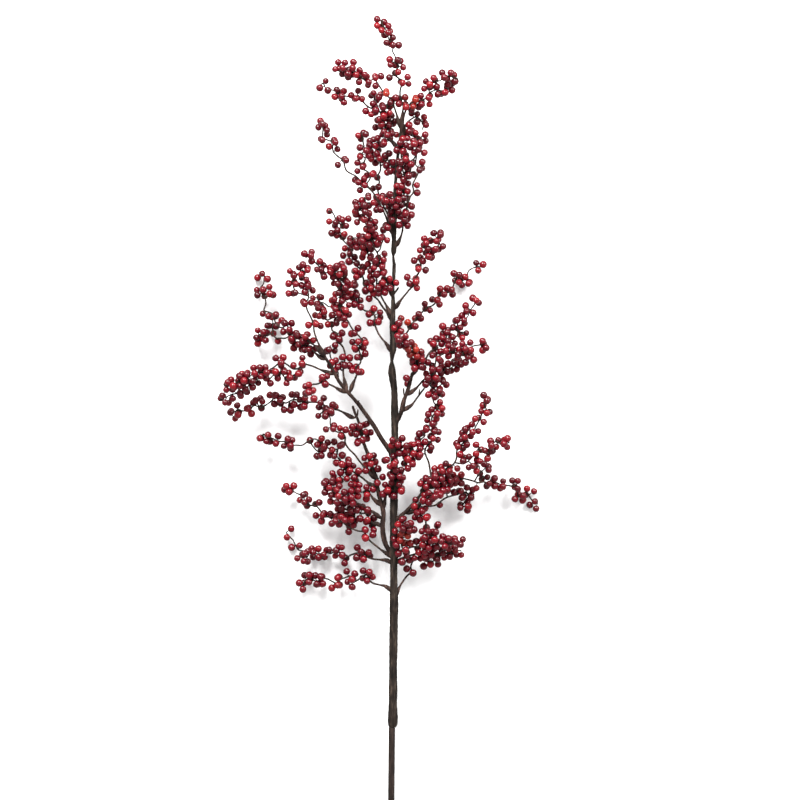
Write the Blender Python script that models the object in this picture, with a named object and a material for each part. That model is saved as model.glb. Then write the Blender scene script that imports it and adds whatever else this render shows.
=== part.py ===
"""Berry spray on a wrapped stem, lying on its back on the ground.

The stem runs along +Y from its cut end and rises slightly towards the top, because the low twigs
behind it hold it off the ground.  +X is to the right, +Z is up.  The plan below is in millimetres,
across and along from the middle of the cut end; the meshes are in metres, with the origin on the
ground under the middle of the whole spray.
"""
import math
import random

import bmesh
import bpy
from mathutils import Vector

MM = 0.001
BERRY_R = 4.3          # berry radius
STALKS = (0.15, 0.9, 1.7)   # possible spaces between the twig's surface and a berry
WIRE_R = (1.15, 0.8)   # twig radius at its foot and at its tip
COLLAR_R = 2.1         # wrapped collar at the foot of a twig
COLLAR_LEN = 17.0
STEM_RISE = 0.085      # rise of the stem line per millimetre of length
ROD_R = 3.25
REST = 1.2             # corners lower than this lie on the ground
GAP = 0.3              # clearance between pieces that meet
WHORL_HALF = 1.1       # half length of the twig that carries one whorl of berries
CORNER = 1.12          # corner radius of a three-sided twig, as a share of its radius
RING_STEP = 16.0       # longest straight piece of a twig
WHORL_SPACE = 3.8      # least distance between two whorls
TURNS = (60, -30, 30, 0, -45, 45, 15, -15)   # degrees a whorl may be turned from the one before it
FORK = 4.5             # no whorl is nearer than this to the foot of another twig
TOUCH = 8.35           # least distance between berry centres on one twig
CLEAR = 0.45           # least space between berries and the pieces they do not belong to

# Stem sections: (across, along, radius), from the cut end to the top.
STEM = {
    "stem_rod": [(-1.7, 0, 3.25), (-1.6, 50, 3.2), (-1.2, 100, 3.25), (-0.8, 140, 3.3)],
    "stem_lower": [(0.1, 140.5, 3.8), (0.1, 142, 5.2), (0.2, 150, 5.6), (0.4, 170, 4.9), (1.0, 230, 4.9),
                   (1.5, 270, 5.0), (1.6, 288, 5.0), (1.4, 300, 4.2), (1.3, 340, 4.3), (1.4, 390, 4.4),
                   (1.6, 430, 4.3), (2.5, 480, 4.3), (2.4, 505, 4.1), (1.9, 525, 3.8), (0.2, 538, 4.3),
                   (-0.6, 546, 4.6), (-0.8, 553, 3.4), (-0.8, 558.5, 1.8)],
    "stem_middle": [(-0.8, 559.1, 1.7), (-0.5, 565, 2.4), (0.6, 573, 3.7), (0.6, 583, 3.6), (-0.2, 596, 3.4),
                    (0.2, 612, 3.4), (0.8, 625, 2.6), (0.6, 634, 2.2), (1.0, 646, 1.8), (1.6, 660, 1.9),
                    (1.9, 668, 2.0), (1.0, 675, 1.4), (0.9, 678, 1.2)],
    "stem_upper": [(0.9, 678.6, 1.2), (1.2, 683, 2.9), (1.7, 690, 3.2), (1.8, 697, 2.6), (1.6, 704, 3.2),
                   (1.4, 715, 3.4), (2.2, 728, 2.8), (2.8, 745, 2.2), (3.7, 765, 1.9), (5.2, 785, 1.8),
                   (7.0, 800, 1.7), (9.0, 818, 1.6), (9.8, 829, 1.2)],
}

# Woody branches: parent, radius at the foot and at the tip, height of the tip over the stem line,
# stations (across, along, berries).
BRANCHES = {
    "branch_left": ("stem_lower", 2.9, 1.7, 24, [
        (2, 449, 0), (-6, 461, 0), (-13, 471, 0), (-22, 486, 0), (-31, 499, 0), (-39, 510, 0), (-47, 519, 0),
        (-54, 527, 0), (-61, 536, 0), (-67, 547, 0), (-72, 556, 0), (-77, 564, 0)]),
    "branch_low_left": ("stem_lower", 3.0, 1.5, -4, [
        (1, 335, 0), (-6, 346, 0), (-10, 357, 0), (-11.5, 370, 0), (-10.5, 383, 0), (-12, 394, 0),
        (-15, 404, 0), (-17, 414, 0), (-18, 424, 2), (-22, 434, 2), (-25, 442, 3), (-27, 450, 3), (-31, 460, 0),
        (-34, 469, 3), (-36, 477, 3), (-37, 485, 3), (-40, 493, 1), (-43, 500, 0), (-45.5, 508, 0)]),
    "branch_right_low": ("stem_lower", 2.4, 1.5, 6, [
        (2, 375, 0), (8, 381, 0), (15, 387, 0), (22, 394, 0), (29, 403, 0), (35, 410, 0), (41, 414, 0)]),
    "branch_right_mid": ("stem_lower", 2.9, 1.9, 10, [
        (4, 487, 0), (8, 496, 0), (11, 505, 0), (13, 514, 0), (16, 522, 0), (19, 531, 1), (21, 539, 2),
        (23, 546, 1)]),
}

# Berry twigs: parent, height of the tip over the stem line, stations of the twig and of its side shoots.
# The foot of a twig is the point of its parent's line nearest to the first station; the same for a shoot.
TWIGS = {
    "twig_leader": ("stem_upper", 6, [
        (9.8, 825, 0), (11, 838, 0), (12, 849, 0), (9, 857, 2), (8.5, 864, 0), (9.5, 870, 0), (13, 875, 3),
        (7, 880, 0), (2, 885, 2), (4.5, 890, 0), (7, 894, 2), (3, 899, 2), (3, 905, 0), (0, 911, 0), (2, 918, 3),
        (-3, 922, 2), (-5, 927, 0), (-6, 932, 2), (-9, 937, 2), (-12, 942, 2), (-11, 946, 1)]),
    "twig_top_left": ("stem_upper", 20, [
        (9.2, 821, 0), (5, 838, 0), (1.5, 849, 0), (1, 855, 2), (-5, 859, 0), (-9, 862, 2), (-13, 868, 0),
        (-17, 874, 1), (-21, 879, 3), (-28, 876, 3), (-35, 880, 3), (-41, 885, 2), (-46, 893, 3), (-52, 885, 3),
        (-57, 893, 3), (-60, 886, 3)]),
    "twig_top_left_low": ("twig_top_left", -8, [
        (1.5, 849, 0), (-4, 850, 1), (-9, 846, 3), (-12, 841, 2), (-18, 845, 3), (-23, 846, 2), (-28, 848, 1),
        (-33, 853, 0), (-37, 859, 0), (-40, 861, 2), (-42, 856, 2), (-48, 859, 0), (-52, 860, 0), (-57, 861, 3),
        (-63, 864, 3), (-68, 867, 0), (-73, 868, 1), (-76, 869, 2), (-79, 875, 1), (-82, 873, 0)]),
    "twig_top_right": ("stem_upper", 12, [
        (9.5, 817, 0), (14, 841, 0), (17, 847, 2), (21, 852, 2), (27, 854, 3), (33, 854, 2), (37, 857, 0),
        (42, 856, 3), (42, 862, 0), (41, 869, 2), (42, 874, 2), (48, 877, 2), (54, 877, 0), (59, 882, 3),
        (66, 882, 3), (72, 880, 1), (75, 879, 1)],
        (-4, [(42.5, 864, 0), (50, 867, 2), (57, 866, 2), (64, 870, 3), (63, 875, 1)])),
    "twig_top_right_low": ("stem_upper", -16, [
        (9.0, 812, 0), (15, 828, 0), (21, 834, 0), (27, 837, 2), (32, 833, 2), (35, 828, 2), (34, 822, 0)]),
    "twig_upper_left_back": ("stem_upper", -24, [
        (7, 799, 0), (1, 807, 0), (-5, 812, 2), (-8, 819, 3), (-8, 826, 3), (-10, 833, 2), (-13, 839, 0),
        (-16, 846, 0), (-18, 852, 0), (-20, 857, 1), (-20, 864, 2)]),
    "twig_upper_right_back": ("stem_upper", -12, [
        (8.4, 808, 0), (13, 820, 0), (18, 822, 2), (21, 816, 3), (26, 814, 1), (31, 811, 2),
        (34, 816, 0), (37, 817, 1)]),
    "twig_upper_front": ("stem_upper", 12, [
        (3, 727, 0), (9, 737, 0), (12, 745, 3), (13, 752, 3), (8, 758, 3), (13, 764, 3), (13, 771, 2),
        (11, 778, 3), (12, 785, 2), (10, 791, 1), (10, 798, 3), (11, 804, 3), (6, 807, 1)]),
    "twig_upper_front_left": ("stem_upper", 14, [
        (1.5, 714, 0), (3, 723, 0), (3, 730, 3), (2, 737, 3), (4, 744, 2), (-3, 742, 2), (-8, 745, 2)]),
    "twig_upper_right": ("stem_upper", 24, [
        (1.7, 687, 0), (8, 697, 0), (11, 706, 0), (12, 714, 3), (13, 721, 3), (15, 728, 0), (17, 736, 1),
        (18, 742, 0), (21, 747, 0), (24, 751, 1), (23, 759, 1), (26, 766, 0), (29, 772, 0), (30, 777, 2),
        (26, 782, 0), (27, 789, 0), (28, 795, 0), (32, 798, 3), (28, 803, 1), (22, 805, 2)],
        (12, [(27.5, 793, 0), (24, 788, 0), (20, 785, 2), (21, 778, 0), (19, 771, 2), (20, 766, 1)])),
    "twig_upper_left": ("stem_upper", 34, [
        (1.5, 700, 0), (-4, 713, 2), (-8, 724, 0), (-13, 735, 0), (-18, 743, 0), (-22, 750, 0), (-28, 756, 0),
        (-35, 758, 2), (-37, 764, 2), (-42, 769, 0), (-48, 772, 0), (-53, 776, 0), (-56, 786, 2),
        (-62, 791, 0), (-67, 796, 1), (-68, 801, 0), (-68, 807, 2), (-73, 809, 0), (-79, 812, 2), (-79, 818, 0),
        (-79, 824, 2), (-80, 830, 2)],
        (14, [(-24, 752, 0), (-29, 760, 0), (-26, 765, 0), (-25, 771, 2), (-30, 775, 0), (-36, 778, 3),
              (-33, 784, 0), (-31, 789, 0), (-35, 793, 2), (-32, 799, 3), (-33, 805, 0), (-34, 811, 1),
              (-35, 817, 2)])),
    "twig_upper_left_back_low": ("stem_upper", -20, [
        (1.5, 710, 0), (-4, 722, 0), (-9, 733, 0), (-14, 743, 0), (-16, 750, 0), (-17, 756, 2), (-15, 763, 0),
        (-17, 769, 1), (-14, 776, 0), (-14, 783, 0), (-15, 788, 0), (-20, 792, 3), (-16, 798, 0), (-19, 803, 2),
        (-26, 803, 1)],
        (-6, [(-14, 782, 0), (-9, 784, 0), (-6, 788, 2), (-2, 783, 2), (-1, 773, 2)])),
    "twig_mid_left_front": ("stem_middle", 24, [
        (0.8, 630, 0), (-4, 643, 2), (-8, 651, 3), (-12, 659, 0), (-15, 667, 1), (-15, 674, 3), (-17, 681, 3),
        (-21, 688, 1), (-24, 696, 0), (-25, 703, 2), (-24, 710, 2), (-25, 718, 2)],
        (24, [(-18, 682, 0), (-14, 686, 0), (-13, 691, 0), (-11, 697, 2), (-17, 698, 2)]),
        (34, [(-24, 697, 0), (-29, 702, 3), (-29, 709, 0), (-31, 716, 0), (-36, 719, 3), (-32, 727, 2),
              (-38, 731, 2), (-31, 737, 3), (-32, 745, 2)])),
    "twig_mid_left": ("stem_middle", -22, [
        (0.4, 603, 0), (-5, 613, 0), (-11, 620, 0), (-17, 629, 0), (-23, 634, 3), (-28, 641, 2), (-33, 646, 1),
        (-33, 652, 0), (-36, 659, 0), (-37, 664, 1), (-42, 668, 1), (-47, 674, 3), (-51, 680, 2), (-46, 686, 2),
        (-51, 691, 0), (-57, 698, 0), (-57, 703, 2), (-62, 708, 3), (-57, 714, 2), (-64, 717, 3), (-66, 724, 0),
        (-70, 730, 0), (-74, 729, 1)]),
    "twig_mid_left_inner": ("stem_middle", 4, [
        (0.3, 608, 0), (-6, 620, 0), (-11, 629, 0), (-15, 637, 3), (-18, 645, 0), (-18, 651, 1), (-20, 657, 2),
        (-22, 663, 3), (-22, 670, 1), (-27, 676, 2), (-29, 684, 3), (-35, 684, 2), (-38, 690, 0), (-42, 694, 2),
        (-45, 700, 3)]),
    "twig_mid_right": ("stem_middle", 28, [
        (0.6, 616, 0), (10, 629, 0), (15, 635, 0), (19, 640, 0), (24, 645, 2), (24, 651, 2), (29, 658, 0),
        (32, 664, 2), (32, 670, 0), (30, 674, 2), (36, 675, 0), (40, 679, 2), (40, 685, 2), (35, 688, 2),
        (39, 694, 3), (44, 697, 0), (50, 698, 3), (52, 705, 2)],
        (26, [(40, 684, 0), (45, 687, 0), (50, 688, 3), (54, 693, 1)])),
    "twig_mid_right_long": ("stem_middle", -56, [
        (0.6, 572, 0), (7, 581, 0), (13, 587, 0), (18, 594, 0), (21, 600, 3), (26, 606, 0), (29, 611, 2),
        (34, 615, 0), (39, 620, 3), (45, 622, 0), (50, 627, 2), (52, 633, 0), (56, 637, 2), (62, 637, 0),
        (66, 639, 3), (69, 644, 0), (71, 650, 1), (74, 656, 2), (80, 652, 2), (86, 653, 2), (86, 660, 0),
        (89, 664, 0), (96, 667, 2), (102, 667, 3)]),
    "twig_mid_left_low": ("stem_middle", -14, [
        (-0.5, 566, 0), (-6, 577, 0), (-11, 583, 0), (-16, 590, 0), (-19, 597, 0), (-21, 603, 3), (-20, 609, 2),
        (-24, 615, 3), (-31, 616, 0), (-36, 620, 1), (-41, 625, 2), (-41, 631, 2), (-42, 638, 1), (-47, 636, 2),
        (-52, 637, 3), (-49, 644, 2), (-48, 650, 2)]),
    "twig_mid_spur": ("stem_middle", -2, [
        (0.3, 586, 0), (6, 595, 2), (8, 602, 1), (9, 609, 1)]),
    "twig_left_far": ("branch_left", -57, [
        (-77, 564, 0), (-83, 570, 0), (-88, 576, 0), (-94, 580, 1), (-99, 584, 3), (-106, 584, 2),
        (-112, 585, 2), (-117, 588, 0), (-119, 593, 2), (-120, 600, 2), (-126, 597, 0), (-132, 600, 0),
        (-135, 607, 0), (-136, 612, 2), (-142, 615, 0), (-147, 617, 1), (-145, 624, 0), (-146, 631, 0),
        (-150, 637, 2), (-152, 642, 1), (-148, 647, 0), (-147, 652, 1), (-147, 658, 1), (-153, 661, 1)],
        (-34, [(-146, 631, 0), (-143, 635, 0), (-138, 638, 2)]),
        (-40, [(-117, 588, 0), (-122, 585, 0), (-128, 585, 0), (-133, 585, 1), (-138, 590, 0), (-146, 588, 2),
               (-153, 589, 3), (-152, 582, 2), (-152, 578, 0)]),
        (-44, [(-137, 589, 0), (-137, 596, 2), (-137, 603, 2)])),
    "twig_left_low_short": ("branch_left", -8, [
        (-74, 560, 0), (-82, 563, 0), (-87, 567, 0), (-91, 571, 2), (-97, 575, 2), (-104, 577, 3),
        (-111, 578, 2), (-115, 577, 1)]),
    "twig_left_upper": ("branch_left", 40, [
        (-75, 561, 0), (-81, 572, 0), (-86, 583, 0), (-89, 592, 0), (-90, 601, 3), (-93, 609, 0),
        (-97, 617, 0), (-98, 625, 3), (-95, 632, 0), (-101, 634, 1), (-110, 638, 2), (-113, 647, 3),
        (-110, 655, 2), (-104, 660, 3), (-96, 659, 2)],
        (34, [(-95.5, 631, 0), (-96, 638, 2), (-98, 646, 2), (-99, 653, 2)])),
    "twig_left_inner": ("branch_left", -6, [
        (-51, 523, 0), (-54, 533, 0), (-56, 544, 0), (-56, 553, 0), (-54, 563, 3), (-55, 571, 0), (-58, 577, 0),
        (-63, 582, 2), (-63, 590, 3), (-69, 594, 0), (-69, 601, 3), (-74, 605, 2), (-67, 609, 2), (-64, 614, 2),
        (-67, 620, 3), (-73, 621, 0), (-78, 625, 0), (-84, 627, 2), (-86, 633, 2)],
        (4, [(-57, 547, 0), (-62, 552, 0), (-67, 557, 2), (-71, 564, 0), (-71, 571, 3), (-71, 577, 1)]),
        (6, [(-75, 605, 0), (-80, 609, 0), (-84, 612, 2), (-80, 618, 2)])),
    "twig_left_inner_right": ("branch_left", 12, [
        (-49, 521, 0), (-46, 531, 0), (-42, 540, 0), (-40, 547, 3), (-42, 552, 2), (-37, 556, 0), (-36, 563, 2),
        (-38, 571, 0), (-38, 577, 3), (-45, 575, 3)],
        (22, [(-38, 574, 0), (-34, 581, 2), (-38, 587, 0), (-43, 592, 3), (-47, 597, 0), (-50, 603, 1),
              (-54, 609, 3), (-57, 615, 3), (-61, 620, 2)])),
    "twig_left_crown": ("twig_left_inner", 16, [
        (-64, 614, 0), (-60, 620, 0), (-59, 627, 0), (-60, 634, 0), (-62, 638, 1), (-58, 642, 0), (-60, 647, 3),
        (-58, 653, 2), (-62, 656, 0), (-67, 658, 2), (-72, 660, 3), (-78, 659, 2), (-82, 665, 2), (-86, 669, 1),
        (-91, 674, 0), (-94, 679, 2), (-99, 676, 1)],
        (10, [(-59, 627, 0), (-53, 627, 2)]),
        (22, [(-59, 651, 0), (-53, 659, 0), (-59, 665, 2), (-61, 671, 1)])),
    "twig_left_mid": ("branch_left", 46, [
        (-50, 523, 0), (-60, 526, 0), (-67, 530, 0), (-73, 533, 0), (-77, 537, 3), (-84, 533, 0), (-91, 532, 0),
        (-95, 529, 3), (-94, 523, 2), (-90, 518, 0), (-86, 515, 1)]),
    "twig_left_long": ("branch_left", 14, [
        (-65, 543, 0), (-74, 546, 0), (-82, 549, 0), (-91, 553, 0), (-98, 555, 0), (-103, 557, 2),
        (-106, 551, 3), (-113, 550, 1), (-119, 554, 0), (-126, 558, 3), (-131, 555, 0), (-136, 551, 1),
        (-143, 547, 2), (-150, 546, 2), (-157, 546, 3), (-163, 541, 2), (-169, 538, 2), (-176, 535, 2),
        (-182, 532, 2), (-189, 531, 3), (-193, 533, 1)],
        (0, [(-107, 551, 0), (-104, 545, 1), (-110, 544, 0), (-116, 541, 2), (-121, 538, 2), (-127, 545, 3),
             (-135, 543, 2), (-141, 538, 1), (-148, 539, 0), (-155, 538, 1), (-162, 533, 3), (-167, 528, 2),
             (-174, 528, 2), (-178, 522, 2), (-183, 521, 1), (-189, 518, 0), (-191, 513, 2), (-197, 515, 1)])),
    "twig_low_left_long": ("branch_low_left", -22, [
        (-41, 494, 0), (-47, 495, 0), (-54, 499, 0), (-62, 503, 0), (-69, 504, 2), (-76, 507, 3), (-82, 511, 2),
        (-89, 512, 0), (-95, 512, 0), (-100, 512, 3), (-107, 514, 0), (-112, 515, 0), (-116, 514, 3),
        (-122, 511, 0), (-128, 514, 2), (-134, 517, 3), (-140, 512, 0), (-146, 508, 1), (-151, 506, 3),
        (-158, 508, 0), (-164, 503, 3), (-171, 502, 0), (-177, 503, 2), (-184, 498, 2)],
        (-18, [(-77, 507, 0), (-79, 502, 2), (-83, 498, 1)]),
        (-18, [(-117, 514, 0), (-119, 505, 2)]),
        (-16, [(-113, 515, 0), (-110, 520, 2)]),
        (-20, [(-152, 506, 0), (-156, 515, 2)])),
    "twig_low_left_thin": ("branch_low_left", 18, [
        (-18, 422, 0), (-26, 431, 0), (-32, 438, 0), (-38, 445, 0), (-43, 452, 0), (-50, 459, 0),
        (-54, 466, 0), (-54, 472, 1), (-57, 477, 2), (-63, 478, 0), (-69, 482, 2), (-71, 488, 0),
        (-71, 494, 0), (-75, 500, 2)]),
    "twig_low_left_upper": ("branch_low_left", -14, [
        (-16, 411, 0), (-22, 416, 0), (-28, 420, 0), (-35, 426, 0), (-41, 430, 3), (-48, 435, 3), (-55, 440, 3),
        (-60, 446, 1), (-64, 451, 2), (-63, 458, 2), (-70, 458, 0), (-77, 462, 3), (-83, 467, 2), (-89, 470, 0),
        (-95, 468, 3), (-103, 463, 0), (-110, 463, 0), (-116, 463, 3), (-121, 467, 3), (-127, 467, 0),
        (-132, 468, 2), (-138, 471, 0), (-143, 472, 3), (-148, 476, 3)],
        (-6, [(-55, 439, 0), (-57, 431, 2), (-62, 425, 2), (-69, 425, 2)]),
        (-4, [(-63, 451, 0), (-69, 448, 2)]),
        (-6, [(-63, 457, 0), (-61, 465, 2)]),
        (-16, [(-94, 468, 0), (-89, 459, 0), (-82, 453, 2)])),
    "twig_low_left_ring": ("branch_low_left", 14, [
        (-11, 378, 0), (-18, 383, 0), (-24, 388, 0), (-31, 392, 0), (-38, 396, 0), (-44, 398, 0), (-49, 402, 3),
        (-55, 404, 3), (-61, 405, 3), (-67, 410, 3), (-72, 416, 3), (-79, 415, 3)],
        (10, [(-60, 405, 0), (-65, 399, 2), (-69, 395, 1)])),
    "twig_low_left_inner": ("branch_low_left", 8, [
        (-12, 392, 0), (-18, 398, 0), (-23, 403, 0), (-27, 409, 3), (-31, 411, 1), (-36, 409, 0), (-40, 413, 2),
        (-45, 408, 3)]),
    "twig_low_left_back": ("branch_low_left", -20, [
        (-11, 368, 0), (-17, 373, 0), (-22, 373, 0), (-27, 378, 2), (-29, 385, 2), (-35, 385, 0), (-41, 387, 3),
        (-46, 390, 3), (-52, 389, 0), (-57, 391, 2), (-58, 385, 2), (-63, 383, 1), (-70, 381, 2), (-75, 381, 0),
        (-80, 381, 3), (-82, 387, 0), (-87, 393, 0), (-93, 394, 0), (-98, 395, 2), (-101, 401, 0),
        (-103, 405, 2), (-110, 408, 0), (-116, 412, 2), (-120, 417, 2)],
        (-14, [(-43, 388, 0), (-44, 380, 2), (-47, 374, 3), (-44, 369, 2)]),
        (-18, [(-91, 394, 0), (-88, 399, 2)]),
        (-6, [(-24, 374, 0), (-25, 368, 2)])),
    "twig_low_left_short": ("stem_lower", 6, [
        (1.3, 333, 0), (-8, 340, 0), (-14, 344, 0), (-20, 349, 0), (-26, 354, 0), (-29, 359, 2), (-33, 364, 3),
        (-39, 365, 0), (-45, 367, 0), (-51, 370, 0), (-56, 374, 0), (-60, 376, 2), (-65, 373, 1)]),
    "twig_bottom_left_upper": ("stem_lower", -31, [
        (1.3, 326, 0), (-6, 331, 0), (-14, 332, 0), (-23, 333, 0), (-30, 336, 2), (-33, 342, 2), (-38, 340, 3),
        (-43, 339, 0), (-50, 336, 0), (-55, 333, 2), (-59, 338, 0), (-64, 342, 3), (-71, 339, 1), (-77, 340, 2),
        (-84, 338, 3), (-90, 340, 2), (-97, 340, 0), (-103, 342, 0), (-108, 343, 1), (-111, 348, 2),
        (-114, 354, 0), (-119, 359, 1), (-122, 363, 3)],
        (-2, [(-96, 340, 0), (-98, 335, 2), (-104, 335, 2)])),
    "twig_bottom_left": ("stem_lower", -16, [
        (1.5, 294, 0), (-7, 301, 0), (-14, 303, 0), (-22, 305, 0), (-27, 309, 2), (-29, 315, 3), (-35, 312, 0),
        (-41, 308, 0), (-46, 306, 3), (-48, 313, 3), (-55, 311, 0), (-61, 309, 2), (-64, 305, 2), (-69, 307, 0),
        (-75, 310, 0), (-81, 310, 3), (-87, 307, 3), (-94, 310, 3), (-99, 309, 1), (-102, 304, 2),
        (-102, 298, 1)]),
    "twig_bottom_right": ("stem_lower", -12, [
        (1.6, 286, 0), (7, 299, 0), (11, 306, 0), (16, 313, 0), (21, 318, 3), (21, 325, 0), (24, 331, 0),
        (31, 333, 0), (37, 331, 2), (44, 330, 2), (52, 332, 2)]),
    "twig_right_low": ("stem_lower", 2, [
        (1.3, 326, 0), (9, 332, 3), (17, 336, 3), (24, 338, 1), (30, 340, 2), (37, 341, 2), (44, 338, 3),
        (51, 337, 2), (58, 339, 2), (65, 340, 3), (72, 342, 3), (78, 343, 3)]),
    "twig_right_low_upper": ("stem_lower", 22, [
        (1.3, 333, 0), (8, 341, 3), (15, 344, 2), (22, 347, 1), (29, 347, 3), (36, 350, 3), (43, 350, 3),
        (50, 352, 2), (57, 354, 2), (63, 352, 2), (69, 350, 0), (73, 354, 3), (80, 351, 3)],
        (24, [(29, 348, 0), (35, 355, 0), (37, 361, 3), (44, 360, 2), (51, 359, 2)]),
        (22, [(12, 343, 0), (10, 350, 0), (11, 357, 2), (8, 365, 2), (14, 370, 0), (20, 371, 3)])),
    "twig_right_low_arch": ("twig_right_low_upper", 12, [
        (43, 350, 0), (43, 357, 0), (40, 363, 0), (38, 368, 0), (38, 373, 0), (37, 380, 3), (32, 383, 3), (26, 384, 3)],
        (10, [(40, 362, 0), (45, 367, 3), (52, 366, 2)])),
    "twig_front_stem": ("branch_low_left", 18, [
        (-11, 388, 0), (-9, 399, 0), (-7, 407, 2), (-5, 414, 3), (2, 411, 3), (4, 420, 2), (7, 426, 3),
        (0, 430, 3), (5, 436, 3), (0, 442, 3), (-2, 449, 2)]),
    "twig_right_tall": ("branch_right_low", 16, [
        (38.5, 412, 0), (44, 423, 0), (43, 433, 0), (41, 444, 0), (38, 451, 1), (37, 458, 2), (41, 464, 3),
        (47, 471, 3), (45, 478, 3), (41, 483, 3), (44, 489, 3), (45, 495, 3),
        (49, 501, 2), (51, 506, 2), (47, 512, 0), (46, 519, 3), (53, 520, 2), (57, 517, 1)],
        (16, [(38, 452, 0), (30, 454, 3), (22, 455, 3), (15, 457, 3), (8, 457, 3), (4, 464, 3), (4, 471, 3)]),
        (4, [(36.5, 459, 0), (31, 462, 2), (32, 469, 2), (37, 474, 0), (33, 479, 2)]),
        (12, [(20, 455, 0), (18, 447, 2), (13, 442, 3), (20, 439, 1)])),
    "twig_right_low_inner": ("branch_right_low", 22, [
        (21, 392, 0), (28, 393, 2), (32, 397, 2), (37, 401, 3), (43, 404, 3), (49, 402, 1), (50, 409, 2)]),
    "twig_right_low_back": ("branch_right_low", -22, [
        (13, 385, 0), (19, 386, 0), (27, 389, 1), (33, 392, 0), (40, 393, 0), (48, 394, 0), (53, 397, 1),
        (58, 401, 0), (64, 404, 0), (72, 406, 0), (78, 408, 3), (84, 409, 3), (87, 404, 2), (83, 399, 0),
        (80, 393, 2), (87, 393, 2)],
        (-14, [(62, 403, 0), (62, 408, 0), (63, 413, 2)])),
    "twig_right_up": ("branch_right_low", 34, [
        (38, 411.5, 0), (47, 420, 1), (53, 428, 3), (58, 434, 3), (64, 438, 3), (70, 442, 3), (73, 449, 0),
        (73, 456, 0), (76, 462, 3), (82, 467, 3), (84, 474, 3), (86, 480, 2), (92, 480, 2), (96, 487, 0),
        (99, 492, 2), (102, 499, 0), (107, 502, 2), (105, 508, 1), (104, 513, 0), (108, 517, 2)],
        (44, [(71, 443, 0), (79, 442, 0), (85, 444, 2), (89, 448, 0), (94, 453, 0), (98, 459, 2), (104, 455, 0),
              (108, 453, 3), (110, 459, 1), (114, 464, 2), (118, 468, 1), (123, 464, 0), (128, 465, 3),
              (133, 466, 2)]),
        (30, [(84, 444, 0), (82, 450, 2)]),
        (34, [(86, 445, 0), (91, 441, 2), (96, 438, 2)])),
    "twig_right_long": ("branch_right_low", -33, [
        (39, 412.5, 0), (50, 417, 3), (57, 420, 3), (64, 422, 3), (71, 424, 3), (78, 425, 3), (85, 424, 0),
        (92, 422, 0), (98, 420, 2), (104, 421, 0), (109, 420, 2), (116, 421, 3), (121, 419, 0), (125, 417, 3),
        (131, 417, 0), (137, 416, 0), (142, 417, 3), (143, 410, 0), (144, 404, 3), (149, 406, 0), (154, 408, 2),
        (158, 402, 0), (161, 398, 3), (167, 396, 1)],
        (-4, [(94, 421, 0), (98, 429, 0), (104, 435, 0), (109, 439, 3)]),
        (-14, [(97, 427, 0), (99, 434, 0), (99, 440, 0)]),
        (-18, [(100, 420, 0), (104, 428, 3)])),
    "twig_right_fork": ("branch_right_low", 8, [
        (32, 406, 0), (34, 413, 0), (35, 419, 2), (39, 415, 1)]),
    "twig_right_mid_orange": ("branch_right_mid", 34, [
        (22, 544, 0), (27, 553, 3), (28, 560, 2), (28, 567, 3), (24, 572, 3), (18, 576, 3), (12, 580, 2),
        (9, 586, 2)]),
    "twig_right_mid_high": ("branch_right_mid", -14, [
        (22, 541, 0), (31, 555, 2), (37, 560, 3), (41, 567, 0), (45, 571, 1), (50, 574, 3), (49, 581, 3),
        (56, 581, 1), (62, 582, 3), (69, 584, 3), (74, 589, 3), (74, 597, 2), (75, 604, 3), (81, 606, 3),
        (86, 610, 0), (87, 615, 3), (91, 620, 0), (95, 626, 0), (97, 629, 2)],
        (-8, [(60, 582, 0), (62, 590, 3), (61, 597, 2)]),
        (-14, [(75, 592, 0), (81, 592, 2)])),
    "twig_right_mid_long": ("branch_right_mid", 16, [
        (15, 519, 0), (22, 524, 0), (28, 529, 0), (34, 536, 1), (40, 541, 2), (46, 544, 3), (47, 550, 2),
        (49, 557, 0), (50, 563, 2), (56, 566, 0), (62, 569, 2), (68, 569, 3), (75, 567, 3), (81, 568, 3),
        (86, 572, 3), (92, 576, 0), (98, 577, 0), (103, 578, 2), (109, 577, 1)],
        (14, [(80, 568, 0), (85, 562, 2), (91, 565, 2)]),
        (22, [(85, 571, 0), (84, 578, 2)])),
    "twig_right_mid_low": ("branch_right_mid", -16, [
        (10, 501, 0), (16, 505, 0), (22, 509, 0), (28, 517, 0), (34, 525, 0), (39, 531, 1), (45, 535, 1),
        (50, 539, 3), (55, 544, 1), (59, 550, 3), (65, 550, 2), (71, 554, 3), (77, 554, 2)],
        (-8, [(41, 532, 0), (47, 530, 2), (53, 530, 3), (59, 536, 3)]),
        (-4, [(30, 520, 0), (31, 527, 0)])),
}

# Short bare stubs that belong to the piece named: foot and tip (across, along), height of the tip, radius.
STUBS = {
    "stem_middle": [((1, 634), (7, 643), 0, 1.2)],
    "branch_left": [((-62, 537), (-62, 547), 22, 1.1), ((-41, 508), (-38, 514), 20, 1.0)],
    "branch_right_mid": [((13, 518), (12.5, 528), 8, 1.1)],
    "branch_low_left": [((-40, 495), (-39.5, 504), -2, 1.2)],
}

WOOD_COLOUR = (0.055, 0.038, 0.030, 1.0)
BERRY_COLOUR = (0.235, 0.010, 0.016, 1.0)


def stem_line_z(along):
    return ROD_R + STEM_RISE * along


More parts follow.
